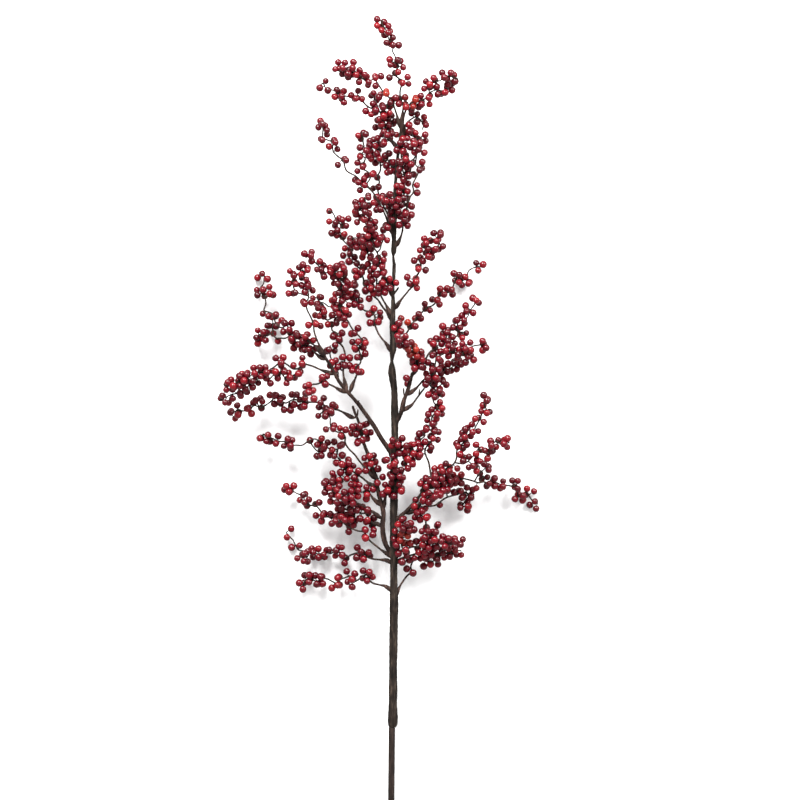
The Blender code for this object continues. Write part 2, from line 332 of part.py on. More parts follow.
def spline(points, step=1.5):
    """Even samples of a smooth curve through the points: list of (distance, point)."""
    ends = [points[0] * 2 - points[1]] + list(points) + [points[-1] * 2 - points[-2]]
    samples, travelled = [(0.0, points[0].copy())], 0.0
    for a, b, c, d in zip(ends, ends[1:], ends[2:], ends[3:]):
        count = max(2, int((c - b).length / step))
        for i in range(1, count + 1):
            t = i / count
            p = 0.5 * (2 * b + (c - a) * t + (2 * a - 5 * b + 4 * c - d) * t * t
                       + (3 * b - a - 3 * c + d) * t ** 3)
            travelled += (p - samples[-1][1]).length
            samples.append((travelled, p))
    return samples


def point_at(line, distance):
    """Point and direction on a sampled curve; straight beyond its ends."""
    for (d0, p0), (d1, p1) in zip(line, line[1:]):
        if distance <= d1:
            break
    direction = (p1 - p0).normalized()
    return p0 + direction * (distance - d0), direction


def nearest(line, x, y):
    """Point of a curve nearest to (x, y) seen from above."""
    return min((p for _, p in line), key=lambda p: (p.x - x) ** 2 + (p.y - y) ** 2).copy()


def along_table(pairs, distance):
    """Straight-line interpolation in (distance, value) pairs."""
    for (d0, v0), (d1, v1) in zip(pairs, pairs[1:]):
        if distance <= d1:
            return v0 + (v1 - v0) * max(0.0, distance - d0) / max(d1 - d0, 1e-9)
    return pairs[-1][1]


class Run:
    """One unbranched length of wood: its curve, its radius and its whorls of berries."""

    def __init__(self, node, points, radius, sides, counts=()):
        self.node, self.sides = node, sides
        self.line = spline(points)
        self.length = self.line[-1][0]
        self.radius = radius(self.length)   # (distance, radius), from the foot to the tip
        self.marks, at = [], 0              # (distance, berries wanted there)
        for p, count in zip(points, counts):
            while at < len(self.line) - 1 and (self.line[at][1] - p).length > 1e-3:
                at += 1
            self.marks.append((self.line[at][0], count))
        self.whorls = []                    # (distance, angle, [(side, stalk), ...])

    def frame(self, distance):
        """Point with two directions across the curve that do not spin along it."""
        p, t = point_at(self.line, distance)
        side = t.cross(Vector((0, 0, 1)))
        side = side.normalized() if side.length > 1e-6 else Vector((1, 0, 0))
        return p, t, side, t.cross(side)

    def berry_centre(self, distance, angle, side, stalk):
        """Centre of the berry on one of the three sides of a whorl, and its direction from the twig."""
        p, _, u, v = self.frame(distance)
        angle += math.radians(60 + 120 * side)
        out = u * math.cos(angle) + v * math.sin(angle)
        reach = along_table(self.radius, distance) + stalk + BERRY_R
        return p + out * reach, out


def twig_radius(length):
    collar = min(COLLAR_LEN, length * 0.4)
    return [(0, COLLAR_R * 0.7), (collar * 0.5, COLLAR_R), (collar, WIRE_R[0]), (length, WIRE_R[1])]


def shoot_radius(length):
    return [(0, 0.95), (length, WIRE_R[1])]


def stem_run(name):
    run = Run(name, [Vector((x, y, stem_line_z(y))) for x, y, _ in STEM[name]], lambda length: [], sides=12)
    at = 0
    for _, y, r in STEM[name]:
        while at < len(run.line) - 1 and run.line[at][1].y < y - 1e-3:
            at += 1
        run.radius.append((run.line[at][0], r))
    return run


def side_run(name, foot, stations, tip_height, radius, sides=3):
    """Run that leaves its parent at the foot and climbs evenly to the height of its tip."""
    flat = [Vector((x, y, 0)) for x, y, _ in stations]
    lengths = [0.0]
    for a, b in zip(flat, flat[1:]):
        lengths.append(lengths[-1] + (b - a).length)
    foot_height = foot.z - stem_line_z(foot.y)
    points = []
    for flat_point, length in zip(flat, lengths):
        part = length / lengths[-1]
        z = stem_line_z(flat_point.y) + foot_height + (tip_height - foot_height) * part
        points.append(Vector((flat_point.x, flat_point.y, max(z, BERRY_R))))
    points[0] = foot
    return Run(name, points, radius, sides, [count for _, _, count in stations])


def stub_run(name, parent, ends, height, radius):
    """Short bare run from one end to the other, six-sided."""
    (x0, y0), (x1, y1) = ends
    stations = [(x0, y0, 0), ((x0 + x1) / 2, (y0 + y1) / 2, 0), (x1, y1, 0)]
    shape = (lambda length: [(0, radius), (length, radius * 0.8)])
    return side_run(name, nearest(parent.line, x0, y0), stations, height, shape, sides=6)


def lay_out():
    """Curves of every piece: {node: [main run, side run, ...]}."""
    runs = {name: [stem_run(name)] for name in STEM}
    for name, (parent, r0, r1, height, stations) in BRANCHES.items():
        foot = nearest(runs[parent][0].line, *stations[0][:2])
        shape = (lambda a, b: lambda length: [(0, a * 0.85), (length * 0.1, a), (length, b)])(r0, r1)
        runs[name] = [side_run(name, foot, stations, height, shape, sides=6)]
    for name, (parent, height, stations, *shoots) in TWIGS.items():
        foot = nearest(runs[parent][0].line, *stations[0][:2])
        runs[name] = [side_run(name, foot, stations, height, twig_radius)]
        for shoot_height, shoot in shoots:
            lines = [r.line for r in runs[name]]
            foot = min((nearest(line, *shoot[0][:2]) for line in lines),
                       key=lambda p: (p.x - shoot[0][0]) ** 2 + (p.y - shoot[0][1]) ** 2)
            runs[name].append(side_run(name, foot, shoot, shoot_height, shoot_radius))
    return runs


def grow_berries(runs):
    """Chooses the whorls of every run so that no berry cuts another berry or another piece of wood."""
    wood = [(run, p, along_table(run.radius, d))
            for parts in runs.values() for run in parts for d, p in run.line]
    cell = 12.0
    wood_cells, berry_cells = {}, {}
    for item in wood:
        key = tuple(int(math.floor(c / cell)) for c in item[1])
        wood_cells.setdefault(key, []).append(item)

    def around(cells, p):
        i, j, k = (int(math.floor(c / cell)) for c in p)
        for di in (-1, 0, 1):
            for dj in (-1, 0, 1):
                for dk in (-1, 0, 1):
                    yield from cells.get((i + di, j + dj, k + dk), ())

    def fits(run, centre, mates):
        if centre.z < BERRY_R:
            return False
        for other, p, r in around(wood_cells, centre):
            apart = (p - centre).length
            if other is run:
                if apart < BERRY_R + r * 0.8:
                    return False
            elif apart < BERRY_R + r + (CLEAR if other.node != run.node else 0.25):
                return False
        for node, c in around(berry_cells, centre):
            if (c - centre).length < (TOUCH if node == run.node else 2 * BERRY_R + CLEAR):
                return False
        return all((c - centre).length >= TOUCH for c in mates)

    rng = random.Random(11)
    feet = [run.line[0][1] for parts in runs.values() for run in parts]
    for parts in runs.values():
        for run in parts:
            angle, last = rng.uniform(0, 2 * math.pi), -10.0
            for mark, wanted in run.marks:
                at = min(max(mark, 4.0), run.length - WHORL_HALF - 0.3)
                here, _ = point_at(run.line, at)
                if wanted == 0 or at - last < WHORL_SPACE or any((foot - here).length < FORK for foot in feet):
                    continue
                best = None
                for turn in TURNS:
                    start = angle + math.radians(turn)
                    mates, chosen = [], []
                    order = [0, 1, 2]
                    rng.shuffle(order)
                    for side in order:
                        for stalk in STALKS:
                            centre, _ = run.berry_centre(at, start, side, stalk)
                            if len(mates) < wanted and fits(run, centre, mates):
                                mates.append(centre)
                                chosen.append((side, stalk))
                                break
                    if len(mates) > (len(best[2]) if best else 0):
                        best = (start, sorted(chosen), mates)
                    if len(mates) == wanted:
                        break
                if best:
                    angle, last = best[0], at
                    run.whorls.append((at, angle, best[1]))
                    for centre in best[2]:
                        key = tuple(int(math.floor(c / cell)) for c in centre)
                        berry_cells.setdefault(key, []).append((run.node, centre))


def add_berry(bm, base, centre, out):
    """Grows a berry out of the four corners of one face of the twig."""
    across = [(v.co - centre) - out * (v.co - centre).dot(out) for v in base]
    ring = [bm.verts.new(centre + a.normalized() * BERRY_R - out * BERRY_R * 0.08) for a in across]
    top = bm.verts.new(centre + out * BERRY_R)
    for i in range(4):
        j = (i + 1) % 4
        bm.faces.new((base[i], base[j], ring[j], ring[i])).material_index = 1
        bm.faces.new((ring[i], ring[j], top)).material_index = 1


def twig_mesh(bm, run, start=0.0, end=None, seat=False):
    """Closed tube along the run, berries growing out of its faces; or the bare space it needs as a seat."""
    sides = 6 if seat else run.sides
    end = run.length if end is None else end
    rings = {}   # distance -> angle
    whorls = [] if seat else run.whorls
    for at, angle, _ in whorls:
        rings[at - WHORL_HALF] = angle
        rings[at + WHORL_HALF] = angle
    stops = [(d, 1.6) for d, _ in run.radius[:3]] + [(d, 3.8) for d, _ in run.marks + run.radius[3:]]
    for d, space in [(start, 1.2), (end, 1.2)] + stops:
        if start <= d <= end and all(abs(d - f) > space for f in rings):
            rings[d] = None
    rings.setdefault(start, None)
    rings.setdefault(end, None)
    order = sorted(rings)
    gaps = [(a, b) for a, b in zip(order, order[1:]) if b - a > RING_STEP]
    for a, b in gaps:
        pieces = int((b - a) / RING_STEP) + 1
        for i in range(1, pieces):
            rings[a + (b - a) * i / pieces] = None
    order = sorted(rings)
    known = [(d, rings[d]) for d in order if rings[d] is not None] or [(0.0, 0.0)]
    loops = []
    for d in order:
        angle = rings[d] if rings[d] is not None else along_table(known, d)
        p, _, u, v = run.frame(d)
        r = along_table(run.radius, d) * (CORNER if run.sides == 3 else 1.0)
        if seat:
            r = (r + GAP) / math.cos(math.pi / sides)
        turns = [angle + math.radians(60 - 180 / sides + 360 * k / sides) for k in range(sides)]
        loops.append([bm.verts.new(p + (u * math.cos(t) + v * math.sin(t)) * r) for t in turns])
    bm.faces.new(loops[0])
    bm.faces.new(list(reversed(loops[-1])))
    carried = {round(at - WHORL_HALF, 6): (at, angle, chosen) for at, angle, chosen in whorls}
    for i, d in enumerate(order[:-1]):
        at, angle, chosen = carried.get(round(d, 6), (0, 0, []))
        for k in range(sides):
            n = (k + 1) % sides
            quad = (loops[i][n], loops[i][k], loops[i + 1][k], loops[i + 1][n])
            stalks = [stalk for side, stalk in chosen if side * sides == 3 * k]
            if stalks:
                add_berry(bm, quad, *run.berry_centre(at, angle, k * 3 // sides, stalks[0]))
            else:
                bm.faces.new(quad)


def make_object(name, bm, materials):
    bmesh.ops.recalc_face_normals(bm, faces=bm.faces)
    if bm.calc_volume(signed=True) < 0:
        bmesh.ops.reverse_faces(bm, faces=bm.faces)
    for v in bm.verts:
        v.co = v.co * MM
    mesh = bpy.data.meshes.new(name)
    bm.to_mesh(mesh)
    bm.free()
    for polygon in mesh.polygons:
        polygon.use_smooth = True
    for material in materials:
        mesh.materials.append(material)
    ob = bpy.data.objects.new(name, mesh)
    bpy.context.scene.collection.objects.link(ob)
    return ob


def helper(name, bm):
    ob = make_object(name, bm, [])
    ob.hide_render = True
    ob.display_type = "WIRE"
    return ob


def combine(ob, tool, operation):
    """Boolean, applied at once; the exact solver first."""
    mod = ob.modifiers.new(tool.name, "BOOLEAN")
    mod.operation, mod.object = operation, tool
    for solver in ("EXACT", "MANIFOLD"):
        mod.solver = solver
        graph = bpy.context.evaluated_depsgraph_get()
        mesh = bpy.data.meshes.new_from_object(ob.evaluated_get(graph))
        if len(mesh.polygons) > 0.7 * len(ob.data.polygons):
            break
    ob.modifiers.clear()
    old, ob.data = ob.data, mesh
    mesh.name = ob.name
    bpy.data.meshes.remove(old)
    bpy.data.objects.remove(tool)


def material(name, colour, roughness):
    mat = bpy.data.materials.new(name)
    mat.use_nodes = True
    shader = mat.node_tree.nodes["Principled BSDF"]
    shader.inputs["Base Color"].default_value = colour
    shader.inputs["Roughness"].default_value = roughness
    return mat


def cut_clear(ob, run, other, reach=24.0):
    """Cuts a piece back so that it meets another run with a small gap; the offcuts are dropped."""
    foot = run.line[0][1]
    if not any((p - q).length < along_table(run.radius, a) + along_table(other.radius, b) + 2 * GAP
               for a, p in run.line if a < reach for b, q in other.line if (q - foot).length < reach):
        return
    near = [d for d, p in other.line if (p - foot).length < reach]
    lo, hi = min(near) - 2, max(near) + 2
    lo = lo if lo > 0 else -GAP
    hi = hi if hi < other.length else other.length + GAP
    bm = bmesh.new()
    twig_mesh(bm, other, start=lo, end=hi, seat=True)
    combine(ob, helper(ob.name + "_seat", bm), "DIFFERENCE")
    keep_largest(ob)


def keep_largest(ob):
    """Drops all but the largest body of a mesh."""
    bm = bmesh.new()
    bm.from_mesh(ob.data)
    left, bodies = set(bm.verts), []
    while left:
        body, edge = set(), [left.pop()]
        while edge:
            v = edge.pop()
            body.add(v)
            for link in v.link_edges:
                w = link.other_vert(v)
                if w in left:
                    left.remove(w)
                    edge.append(w)
        bodies.append(body)
    bodies.sort(key=len)
    bmesh.ops.delete(bm, geom=[v for body in bodies[:-1] for v in body], context="VERTS")
    bm.to_mesh(ob.data)
    bm.free()


def settle():
    """Rests the lowest corners on the ground and puts the origin under the middle of the object."""
    meshes = [ob.data for ob in bpy.data.objects]
    every = [v.co for mesh in meshes for v in mesh.vertices]
    low = min(co.z for co in every)
    centre = Vector([(min(co[i] for co in every) + max(co[i] for co in every)) / 2 for i in range(2)] + [low])
    for mesh in meshes:
        for v in mesh.vertices:
            v.co -= centre
            if v.co.z < REST * MM:
                v.co.z = 0.0


def build():
    for ob in list(bpy.data.objects):
        bpy.data.objects.remove(ob)
    runs = lay_out()
    grow_berries(runs)
    parents = {name: spec[0] for name, spec in {**BRANCHES, **TWIGS}.items()}
    for name, parts in runs.items():
        main = parts[0]
        wood = material(name + "_wood", WOOD_COLOUR, 0.75)
        berry = material(name + "_berries", BERRY_COLOUR, 0.28)
        bm = bmesh.new()
        twig_mesh(bm, main)
        ob = make_object(name, bm, [wood, berry] if name in TWIGS or name in BRANCHES else [wood])
        for shoot in parts[1:]:
            bm = bmesh.new()
            twig_mesh(bm, shoot)
            combine(ob, helper(name + "_shoot", bm), "UNION")
        for *ends, height, radius in STUBS.get(name, []):
            bm = bmesh.new()
            twig_mesh(bm, stub_run(name, main, ends, height, radius))
            combine(ob, helper(name + "_stub", bm), "UNION")
        if name in parents:
            done = [runs[other][0] for other in runs if other in parents and parents[other] == parents[name]]
            for other in [runs[parents[name]][0]] + done[:done.index(main)]:
                cut_clear(ob, main, other)
    settle()


build()
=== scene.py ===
"""Looks of the berry spray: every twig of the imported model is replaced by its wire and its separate
berries, the stem and the branches by their wrapped and ridged surfaces.

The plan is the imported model's, in millimetres: across to the right and along from the stem's cut end.
"""

import itertools
import math
import random

import bmesh
import bpy
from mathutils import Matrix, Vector, noise


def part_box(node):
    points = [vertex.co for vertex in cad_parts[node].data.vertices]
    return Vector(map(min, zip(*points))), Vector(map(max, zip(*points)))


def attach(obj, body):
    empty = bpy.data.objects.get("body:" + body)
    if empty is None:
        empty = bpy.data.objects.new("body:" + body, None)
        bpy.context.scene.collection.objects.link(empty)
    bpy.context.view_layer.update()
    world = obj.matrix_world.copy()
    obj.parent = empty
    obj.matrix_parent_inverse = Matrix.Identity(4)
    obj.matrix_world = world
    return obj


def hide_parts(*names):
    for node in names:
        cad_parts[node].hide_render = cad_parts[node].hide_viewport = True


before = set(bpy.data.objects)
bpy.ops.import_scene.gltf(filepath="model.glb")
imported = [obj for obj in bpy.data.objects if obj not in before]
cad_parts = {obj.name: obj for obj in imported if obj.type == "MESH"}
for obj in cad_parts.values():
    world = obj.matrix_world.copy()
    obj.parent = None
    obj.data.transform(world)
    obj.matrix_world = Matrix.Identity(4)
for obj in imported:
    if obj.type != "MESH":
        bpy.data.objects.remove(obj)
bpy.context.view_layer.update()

MM = 0.001
BERRY_R = 4.3  # berry radius
STALKS = (0.15, 0.9, 1.7)  # possible spaces between the twig's surface and a berry
WIRE_R = (1.15, 0.8)  # twig radius at its foot and at its tip
SHOOT_R = 0.95  # radius at the foot of a side shoot
COLLAR_R = 2.1  # wrapped collar at the foot of a twig
COLLAR_LEN, COLLAR_SHARE = 17.0, 0.4  # its length, and its share of a short twig
STEM_RISE = 0.085  # rise of the stem line per millimetre of length
ROD_R = 3.25
CURVE_STEP = 1.5  # distance between the samples of a curve

# Whorls: one, two or three berries side by side round a wire.
WHORL_HALF = 1.1  # half length of the twig that carries one whorl
WHORL_SPACE = 3.8  # least distance between two whorls
WHORL_START, WHORL_END = 4.0, 0.3  # bare wire before the first whorl and past the last
TURNS = (60, -30, 30, 0, -45, 45, 15, -15)  # degrees a whorl may be turned from the one before it
FORK = 4.5  # no whorl is nearer than this to the foot of another twig
TOUCH = 8.35  # least distance between berry centres on one twig
CLEAR = 0.45  # least space between berries and the pieces they do not belong to
OWN_CLEAR = 0.25  # least space between a berry and another shoot of its own twig
OWN_WIRE = 0.8  # share of its own wire's radius that a berry stays clear of
WHORL_CELL = 12.0  # cubes that near things are looked up in
PLAN_SEED = 11

# Stem sections: (across, along, radius), from the cut end to the top.
STEM = {
    "stem_rod": [(-1.7, 0, 3.25), (-1.6, 50, 3.2), (-1.2, 100, 3.25), (-0.8, 140, 3.3)],
    "stem_lower": [(0.1, 140.5, 3.8), (0.1, 142, 5.2), (0.2, 150, 5.6), (0.4, 170, 4.9), (1.0, 230, 4.9),
      (1.5, 270, 5.0), (1.6, 288, 5.0), (1.4, 300, 4.2), (1.3, 340, 4.3), (1.4, 390, 4.4), (1.6, 430, 4.3),
      (2.5, 480, 4.3), (2.4, 505, 4.1), (1.9, 525, 3.8), (0.2, 538, 4.3), (-0.6, 546, 4.6), (-0.8, 553, 3.4),
      (-0.8, 558.5, 1.8)],
    "stem_middle": [(-0.8, 559.1, 1.7), (-0.5, 565, 2.4), (0.6, 573, 3.7), (0.6, 583, 3.6), (-0.2, 596, 3.4),
      (0.2, 612, 3.4), (0.8, 625, 2.6), (0.6, 634, 2.2), (1.0, 646, 1.8), (1.6, 660, 1.9), (1.9, 668, 2.0),
      (1.0, 675, 1.4), (0.9, 678, 1.2)],
    "stem_upper": [(0.9, 678.6, 1.2), (1.2, 683, 2.9), (1.7, 690, 3.2), (1.8, 697, 2.6), (1.6, 704, 3.2),
      (1.4, 715, 3.4), (2.2, 728, 2.8), (2.8, 745, 2.2), (3.7, 765, 1.9), (5.2, 785, 1.8), (7.0, 800, 1.7),
      (9.0, 818, 1.6), (9.8, 829, 1.2)],
}

# A station is (across, along), or (across, along, berries) where there are any.
# Woody branches: parent, radius at the foot and at the tip, height of the tip over the stem line, stations.
BRANCHES = {
    "branch_left": ("stem_lower", 2.9, 1.7, 24, [(2, 449), (-6, 461), (-13, 471), (-22, 486), (-31, 499),
      (-39, 510), (-47, 519), (-54, 527), (-61, 536), (-67, 547), (-72, 556), (-77, 564)]),
    "branch_low_left": ("stem_lower", 3.0, 1.5, -4, [(1, 335), (-6, 346), (-10, 357), (-11.5, 370),
      (-10.5, 383), (-12, 394), (-15, 404), (-17, 414), (-18, 424, 2), (-22, 434, 2), (-25, 442, 3),
      (-27, 450, 3), (-31, 460), (-34, 469, 3), (-36, 477, 3), (-37, 485, 3), (-40, 493, 1), (-43, 500),
      (-45.5, 508)]),
    "branch_right_low": ("stem_lower", 2.4, 1.5, 6, [(2, 375), (8, 381), (15, 387), (22, 394), (29, 403),
      (35, 410), (41, 414)]),
    "branch_right_mid": ("stem_lower", 2.9, 1.9, 10, [(4, 487), (8, 496), (11, 505), (13, 514), (16, 522),
      (19, 531, 1), (21, 539, 2), (23, 546, 1)]),
}

# Berry twigs: parent, height of the tip, stations; then height and stations of each side shoot. The foot is
# the point of the parent's line nearest to the first station.
TWIGS = {
    "twig_leader": ("stem_upper", 6, [(9.8, 825), (11, 838), (12, 849), (9, 857, 2), (8.5, 864), (9.5, 870),
      (13, 875, 3), (7, 880), (2, 885, 2), (4.5, 890), (7, 894, 2), (3, 899, 2), (3, 905), (0, 911),
      (2, 918, 3), (-3, 922, 2), (-5, 927), (-6, 932, 2), (-9, 937, 2), (-12, 942, 2), (-11, 946, 1)]),
    "twig_top_left": ("stem_upper", 20, [(9.2, 821), (5, 838), (1.5, 849), (1, 855, 2), (-5, 859), (-9, 862, 2),
      (-13, 868), (-17, 874, 1), (-21, 879, 3), (-28, 876, 3), (-35, 880, 3), (-41, 885, 2), (-46, 893, 3),
      (-52, 885, 3), (-57, 893, 3), (-60, 886, 3)]),
    "twig_top_left_low": ("twig_top_left", -8, [(1.5, 849), (-4, 850, 1), (-9, 846, 3), (-12, 841, 2),
      (-18, 845, 3), (-23, 846, 2), (-28, 848, 1), (-33, 853), (-37, 859), (-40, 861, 2), (-42, 856, 2),
      (-48, 859), (-52, 860), (-57, 861, 3), (-63, 864, 3), (-68, 867), (-73, 868, 1), (-76, 869, 2),
      (-79, 875, 1), (-82, 873)]),
    "twig_top_right": ("stem_upper", 12, [(9.5, 817), (14, 841), (17, 847, 2), (21, 852, 2), (27, 854, 3),
      (33, 854, 2), (37, 857), (42, 856, 3), (42, 862), (41, 869, 2), (42, 874, 2), (48, 877, 2), (54, 877),
      (59, 882, 3), (66, 882, 3), (72, 880, 1), (75, 879, 1)],
      (-4, [(42.5, 864), (50, 867, 2), (57, 866, 2), (64, 870, 3), (63, 875, 1)])),
    "twig_top_right_low": ("stem_upper", -16, [(9.0, 812), (15, 828), (21, 834), (27, 837, 2), (32, 833, 2),
      (35, 828, 2), (34, 822)]),
    "twig_upper_left_back": ("stem_upper", -24, [(7, 799), (1, 807), (-5, 812, 2), (-8, 819, 3), (-8, 826, 3),
      (-10, 833, 2), (-13, 839), (-16, 846), (-18, 852), (-20, 857, 1), (-20, 864, 2)]),
    "twig_upper_right_back": ("stem_upper", -12, [(8.4, 808), (13, 820), (18, 822, 2), (21, 816, 3),
      (26, 814, 1), (31, 811, 2), (34, 816), (37, 817, 1)]),
    "twig_upper_front": ("stem_upper", 12, [(3, 727), (9, 737), (12, 745, 3), (13, 752, 3), (8, 758, 3),
      (13, 764, 3), (13, 771, 2), (11, 778, 3), (12, 785, 2), (10, 791, 1), (10, 798, 3), (11, 804, 3),
      (6, 807, 1)]),
    "twig_upper_front_left": ("stem_upper", 14, [(1.5, 714), (3, 723), (3, 730, 3), (2, 737, 3), (4, 744, 2),
      (-3, 742, 2), (-8, 745, 2)]),
    "twig_upper_right": ("stem_upper", 24, [(1.7, 687), (8, 697), (11, 706), (12, 714, 3), (13, 721, 3),
      (15, 728), (17, 736, 1), (18, 742), (21, 747), (24, 751, 1), (23, 759, 1), (26, 766), (29, 772),
      (30, 777, 2), (26, 782), (27, 789), (28, 795), (32, 798, 3), (28, 803, 1), (22, 805, 2)],
      (12, [(27.5, 793), (24, 788), (20, 785, 2), (21, 778), (19, 771, 2), (20, 766, 1)])),
    "twig_upper_left": ("stem_upper", 34, [(1.5, 700), (-4, 713, 2), (-8, 724), (-13, 735), (-18, 743),
      (-22, 750), (-28, 756), (-35, 758, 2), (-37, 764, 2), (-42, 769), (-48, 772), (-53, 776), (-56, 786, 2),
      (-62, 791), (-67, 796, 1), (-68, 801), (-68, 807, 2), (-73, 809), (-79, 812, 2), (-79, 818),
      (-79, 824, 2), (-80, 830, 2)],
      (14, [(-24, 752), (-29, 760), (-26, 765), (-25, 771, 2), (-30, 775), (-36, 778, 3), (-33, 784),
        (-31, 789), (-35, 793, 2), (-32, 799, 3), (-33, 805), (-34, 811, 1), (-35, 817, 2)])),
    "twig_upper_left_back_low": ("stem_upper", -20, [(1.5, 710), (-4, 722), (-9, 733), (-14, 743), (-16, 750),
      (-17, 756, 2), (-15, 763), (-17, 769, 1), (-14, 776), (-14, 783), (-15, 788), (-20, 792, 3), (-16, 798),
      (-19, 803, 2), (-26, 803, 1)],
      (-6, [(-14, 782), (-9, 784), (-6, 788, 2), (-2, 783, 2), (-1, 773, 2)])),
    "twig_mid_left_front": ("stem_middle", 24, [(0.8, 630), (-4, 643, 2), (-8, 651, 3), (-12, 659),
      (-15, 667, 1), (-15, 674, 3), (-17, 681, 3), (-21, 688, 1), (-24, 696), (-25, 703, 2), (-24, 710, 2),
      (-25, 718, 2)],
      (24, [(-18, 682), (-14, 686), (-13, 691), (-11, 697, 2), (-17, 698, 2)]),
      (34, [(-24, 697), (-29, 702, 3), (-29, 709), (-31, 716), (-36, 719, 3), (-32, 727, 2), (-38, 731, 2),
        (-31, 737, 3), (-32, 745, 2)])),
    "twig_mid_left": ("stem_middle", -22, [(0.4, 603), (-5, 613), (-11, 620), (-17, 629), (-23, 634, 3),
      (-28, 641, 2), (-33, 646, 1), (-33, 652), (-36, 659), (-37, 664, 1), (-42, 668, 1), (-47, 674, 3),
      (-51, 680, 2), (-46, 686, 2), (-51, 691), (-57, 698), (-57, 703, 2), (-62, 708, 3), (-57, 714, 2),
      (-64, 717, 3), (-66, 724), (-70, 730), (-74, 729, 1)]),
    "twig_mid_left_inner": ("stem_middle", 4, [(0.3, 608), (-6, 620), (-11, 629), (-15, 637, 3), (-18, 645),
      (-18, 651, 1), (-20, 657, 2), (-22, 663, 3), (-22, 670, 1), (-27, 676, 2), (-29, 684, 3), (-35, 684, 2),
      (-38, 690), (-42, 694, 2), (-45, 700, 3)]),
    "twig_mid_right": ("stem_middle", 28, [(0.6, 616), (10, 629), (15, 635), (19, 640), (24, 645, 2),
      (24, 651, 2), (29, 658), (32, 664, 2), (32, 670), (30, 674, 2), (36, 675), (40, 679, 2), (40, 685, 2),
      (35, 688, 2), (39, 694, 3), (44, 697), (50, 698, 3), (52, 705, 2)],
      (26, [(40, 684), (45, 687), (50, 688, 3), (54, 693, 1)])),
    "twig_mid_right_long": ("stem_middle", -56, [(0.6, 572), (7, 581), (13, 587), (18, 594), (21, 600, 3),
      (26, 606), (29, 611, 2), (34, 615), (39, 620, 3), (45, 622), (50, 627, 2), (52, 633), (56, 637, 2),
      (62, 637), (66, 639, 3), (69, 644), (71, 650, 1), (74, 656, 2), (80, 652, 2), (86, 653, 2), (86, 660),
      (89, 664), (96, 667, 2), (102, 667, 3)]),
    "twig_mid_left_low": ("stem_middle", -14, [(-0.5, 566), (-6, 577), (-11, 583), (-16, 590), (-19, 597),
      (-21, 603, 3), (-20, 609, 2), (-24, 615, 3), (-31, 616), (-36, 620, 1), (-41, 625, 2), (-41, 631, 2),
      (-42, 638, 1), (-47, 636, 2), (-52, 637, 3), (-49, 644, 2), (-48, 650, 2)]),
    "twig_mid_spur": ("stem_middle", -2, [(0.3, 586), (6, 595, 2), (8, 602, 1), (9, 609, 1)]),
    "twig_left_far": ("branch_left", -57, [(-77, 564), (-83, 570), (-88, 576), (-94, 580, 1), (-99, 584, 3),
      (-106, 584, 2), (-112, 585, 2), (-117, 588), (-119, 593, 2), (-120, 600, 2), (-126, 597), (-132, 600),
      (-135, 607), (-136, 612, 2), (-142, 615), (-147, 617, 1), (-145, 624), (-146, 631), (-150, 637, 2),
      (-152, 642, 1), (-148, 647), (-147, 652, 1), (-147, 658, 1), (-153, 661, 1)],
      (-34, [(-146, 631), (-143, 635), (-138, 638, 2)]),
      (-40, [(-117, 588), (-122, 585), (-128, 585), (-133, 585, 1), (-138, 590), (-146, 588, 2), (-153, 589, 3),
        (-152, 582, 2), (-152, 578)]),
      (-44, [(-137, 589), (-137, 596, 2), (-137, 603, 2)])),
    "twig_left_low_short": ("branch_left", -8, [(-74, 560), (-82, 563), (-87, 567), (-91, 571, 2),
      (-97, 575, 2), (-104, 577, 3), (-111, 578, 2), (-115, 577, 1)]),
    "twig_left_upper": ("branch_left", 40, [(-75, 561), (-81, 572), (-86, 583), (-89, 592), (-90, 601, 3),
      (-93, 609), (-97, 617), (-98, 625, 3), (-95, 632), (-101, 634, 1), (-110, 638, 2), (-113, 647, 3),
      (-110, 655, 2), (-104, 660, 3), (-96, 659, 2)],
      (34, [(-95.5, 631), (-96, 638, 2), (-98, 646, 2), (-99, 653, 2)])),
    "twig_left_inner": ("branch_left", -6, [(-51, 523), (-54, 533), (-56, 544), (-56, 553), (-54, 563, 3),
      (-55, 571), (-58, 577), (-63, 582, 2), (-63, 590, 3), (-69, 594), (-69, 601, 3), (-74, 605, 2),
      (-67, 609, 2), (-64, 614, 2), (-67, 620, 3), (-73, 621), (-78, 625), (-84, 627, 2), (-86, 633, 2)],
      (4, [(-57, 547), (-62, 552), (-67, 557, 2), (-71, 564), (-71, 571, 3), (-71, 577, 1)]),
      (6, [(-75, 605), (-80, 609), (-84, 612, 2), (-80, 618, 2)])),
    "twig_left_inner_right": ("branch_left", 12, [(-49, 521), (-46, 531), (-42, 540), (-40, 547, 3),
      (-42, 552, 2), (-37, 556), (-36, 563, 2), (-38, 571), (-38, 577, 3), (-45, 575, 3)],
      (22, [(-38, 574), (-34, 581, 2), (-38, 587), (-43, 592, 3), (-47, 597), (-50, 603, 1), (-54, 609, 3),
        (-57, 615, 3), (-61, 620, 2)])),
    "twig_left_crown": ("twig_left_inner", 16, [(-64, 614), (-60, 620), (-59, 627), (-60, 634), (-62, 638, 1),
      (-58, 642), (-60, 647, 3), (-58, 653, 2), (-62, 656), (-67, 658, 2), (-72, 660, 3), (-78, 659, 2),
      (-82, 665, 2), (-86, 669, 1), (-91, 674), (-94, 679, 2), (-99, 676, 1)],
      (10, [(-59, 627), (-53, 627, 2)]),
      (22, [(-59, 651), (-53, 659), (-59, 665, 2), (-61, 671, 1)])),
    "twig_left_mid": ("branch_left", 46, [(-50, 523), (-60, 526), (-67, 530), (-73, 533), (-77, 537, 3),
      (-84, 533), (-91, 532), (-95, 529, 3), (-94, 523, 2), (-90, 518), (-86, 515, 1)]),
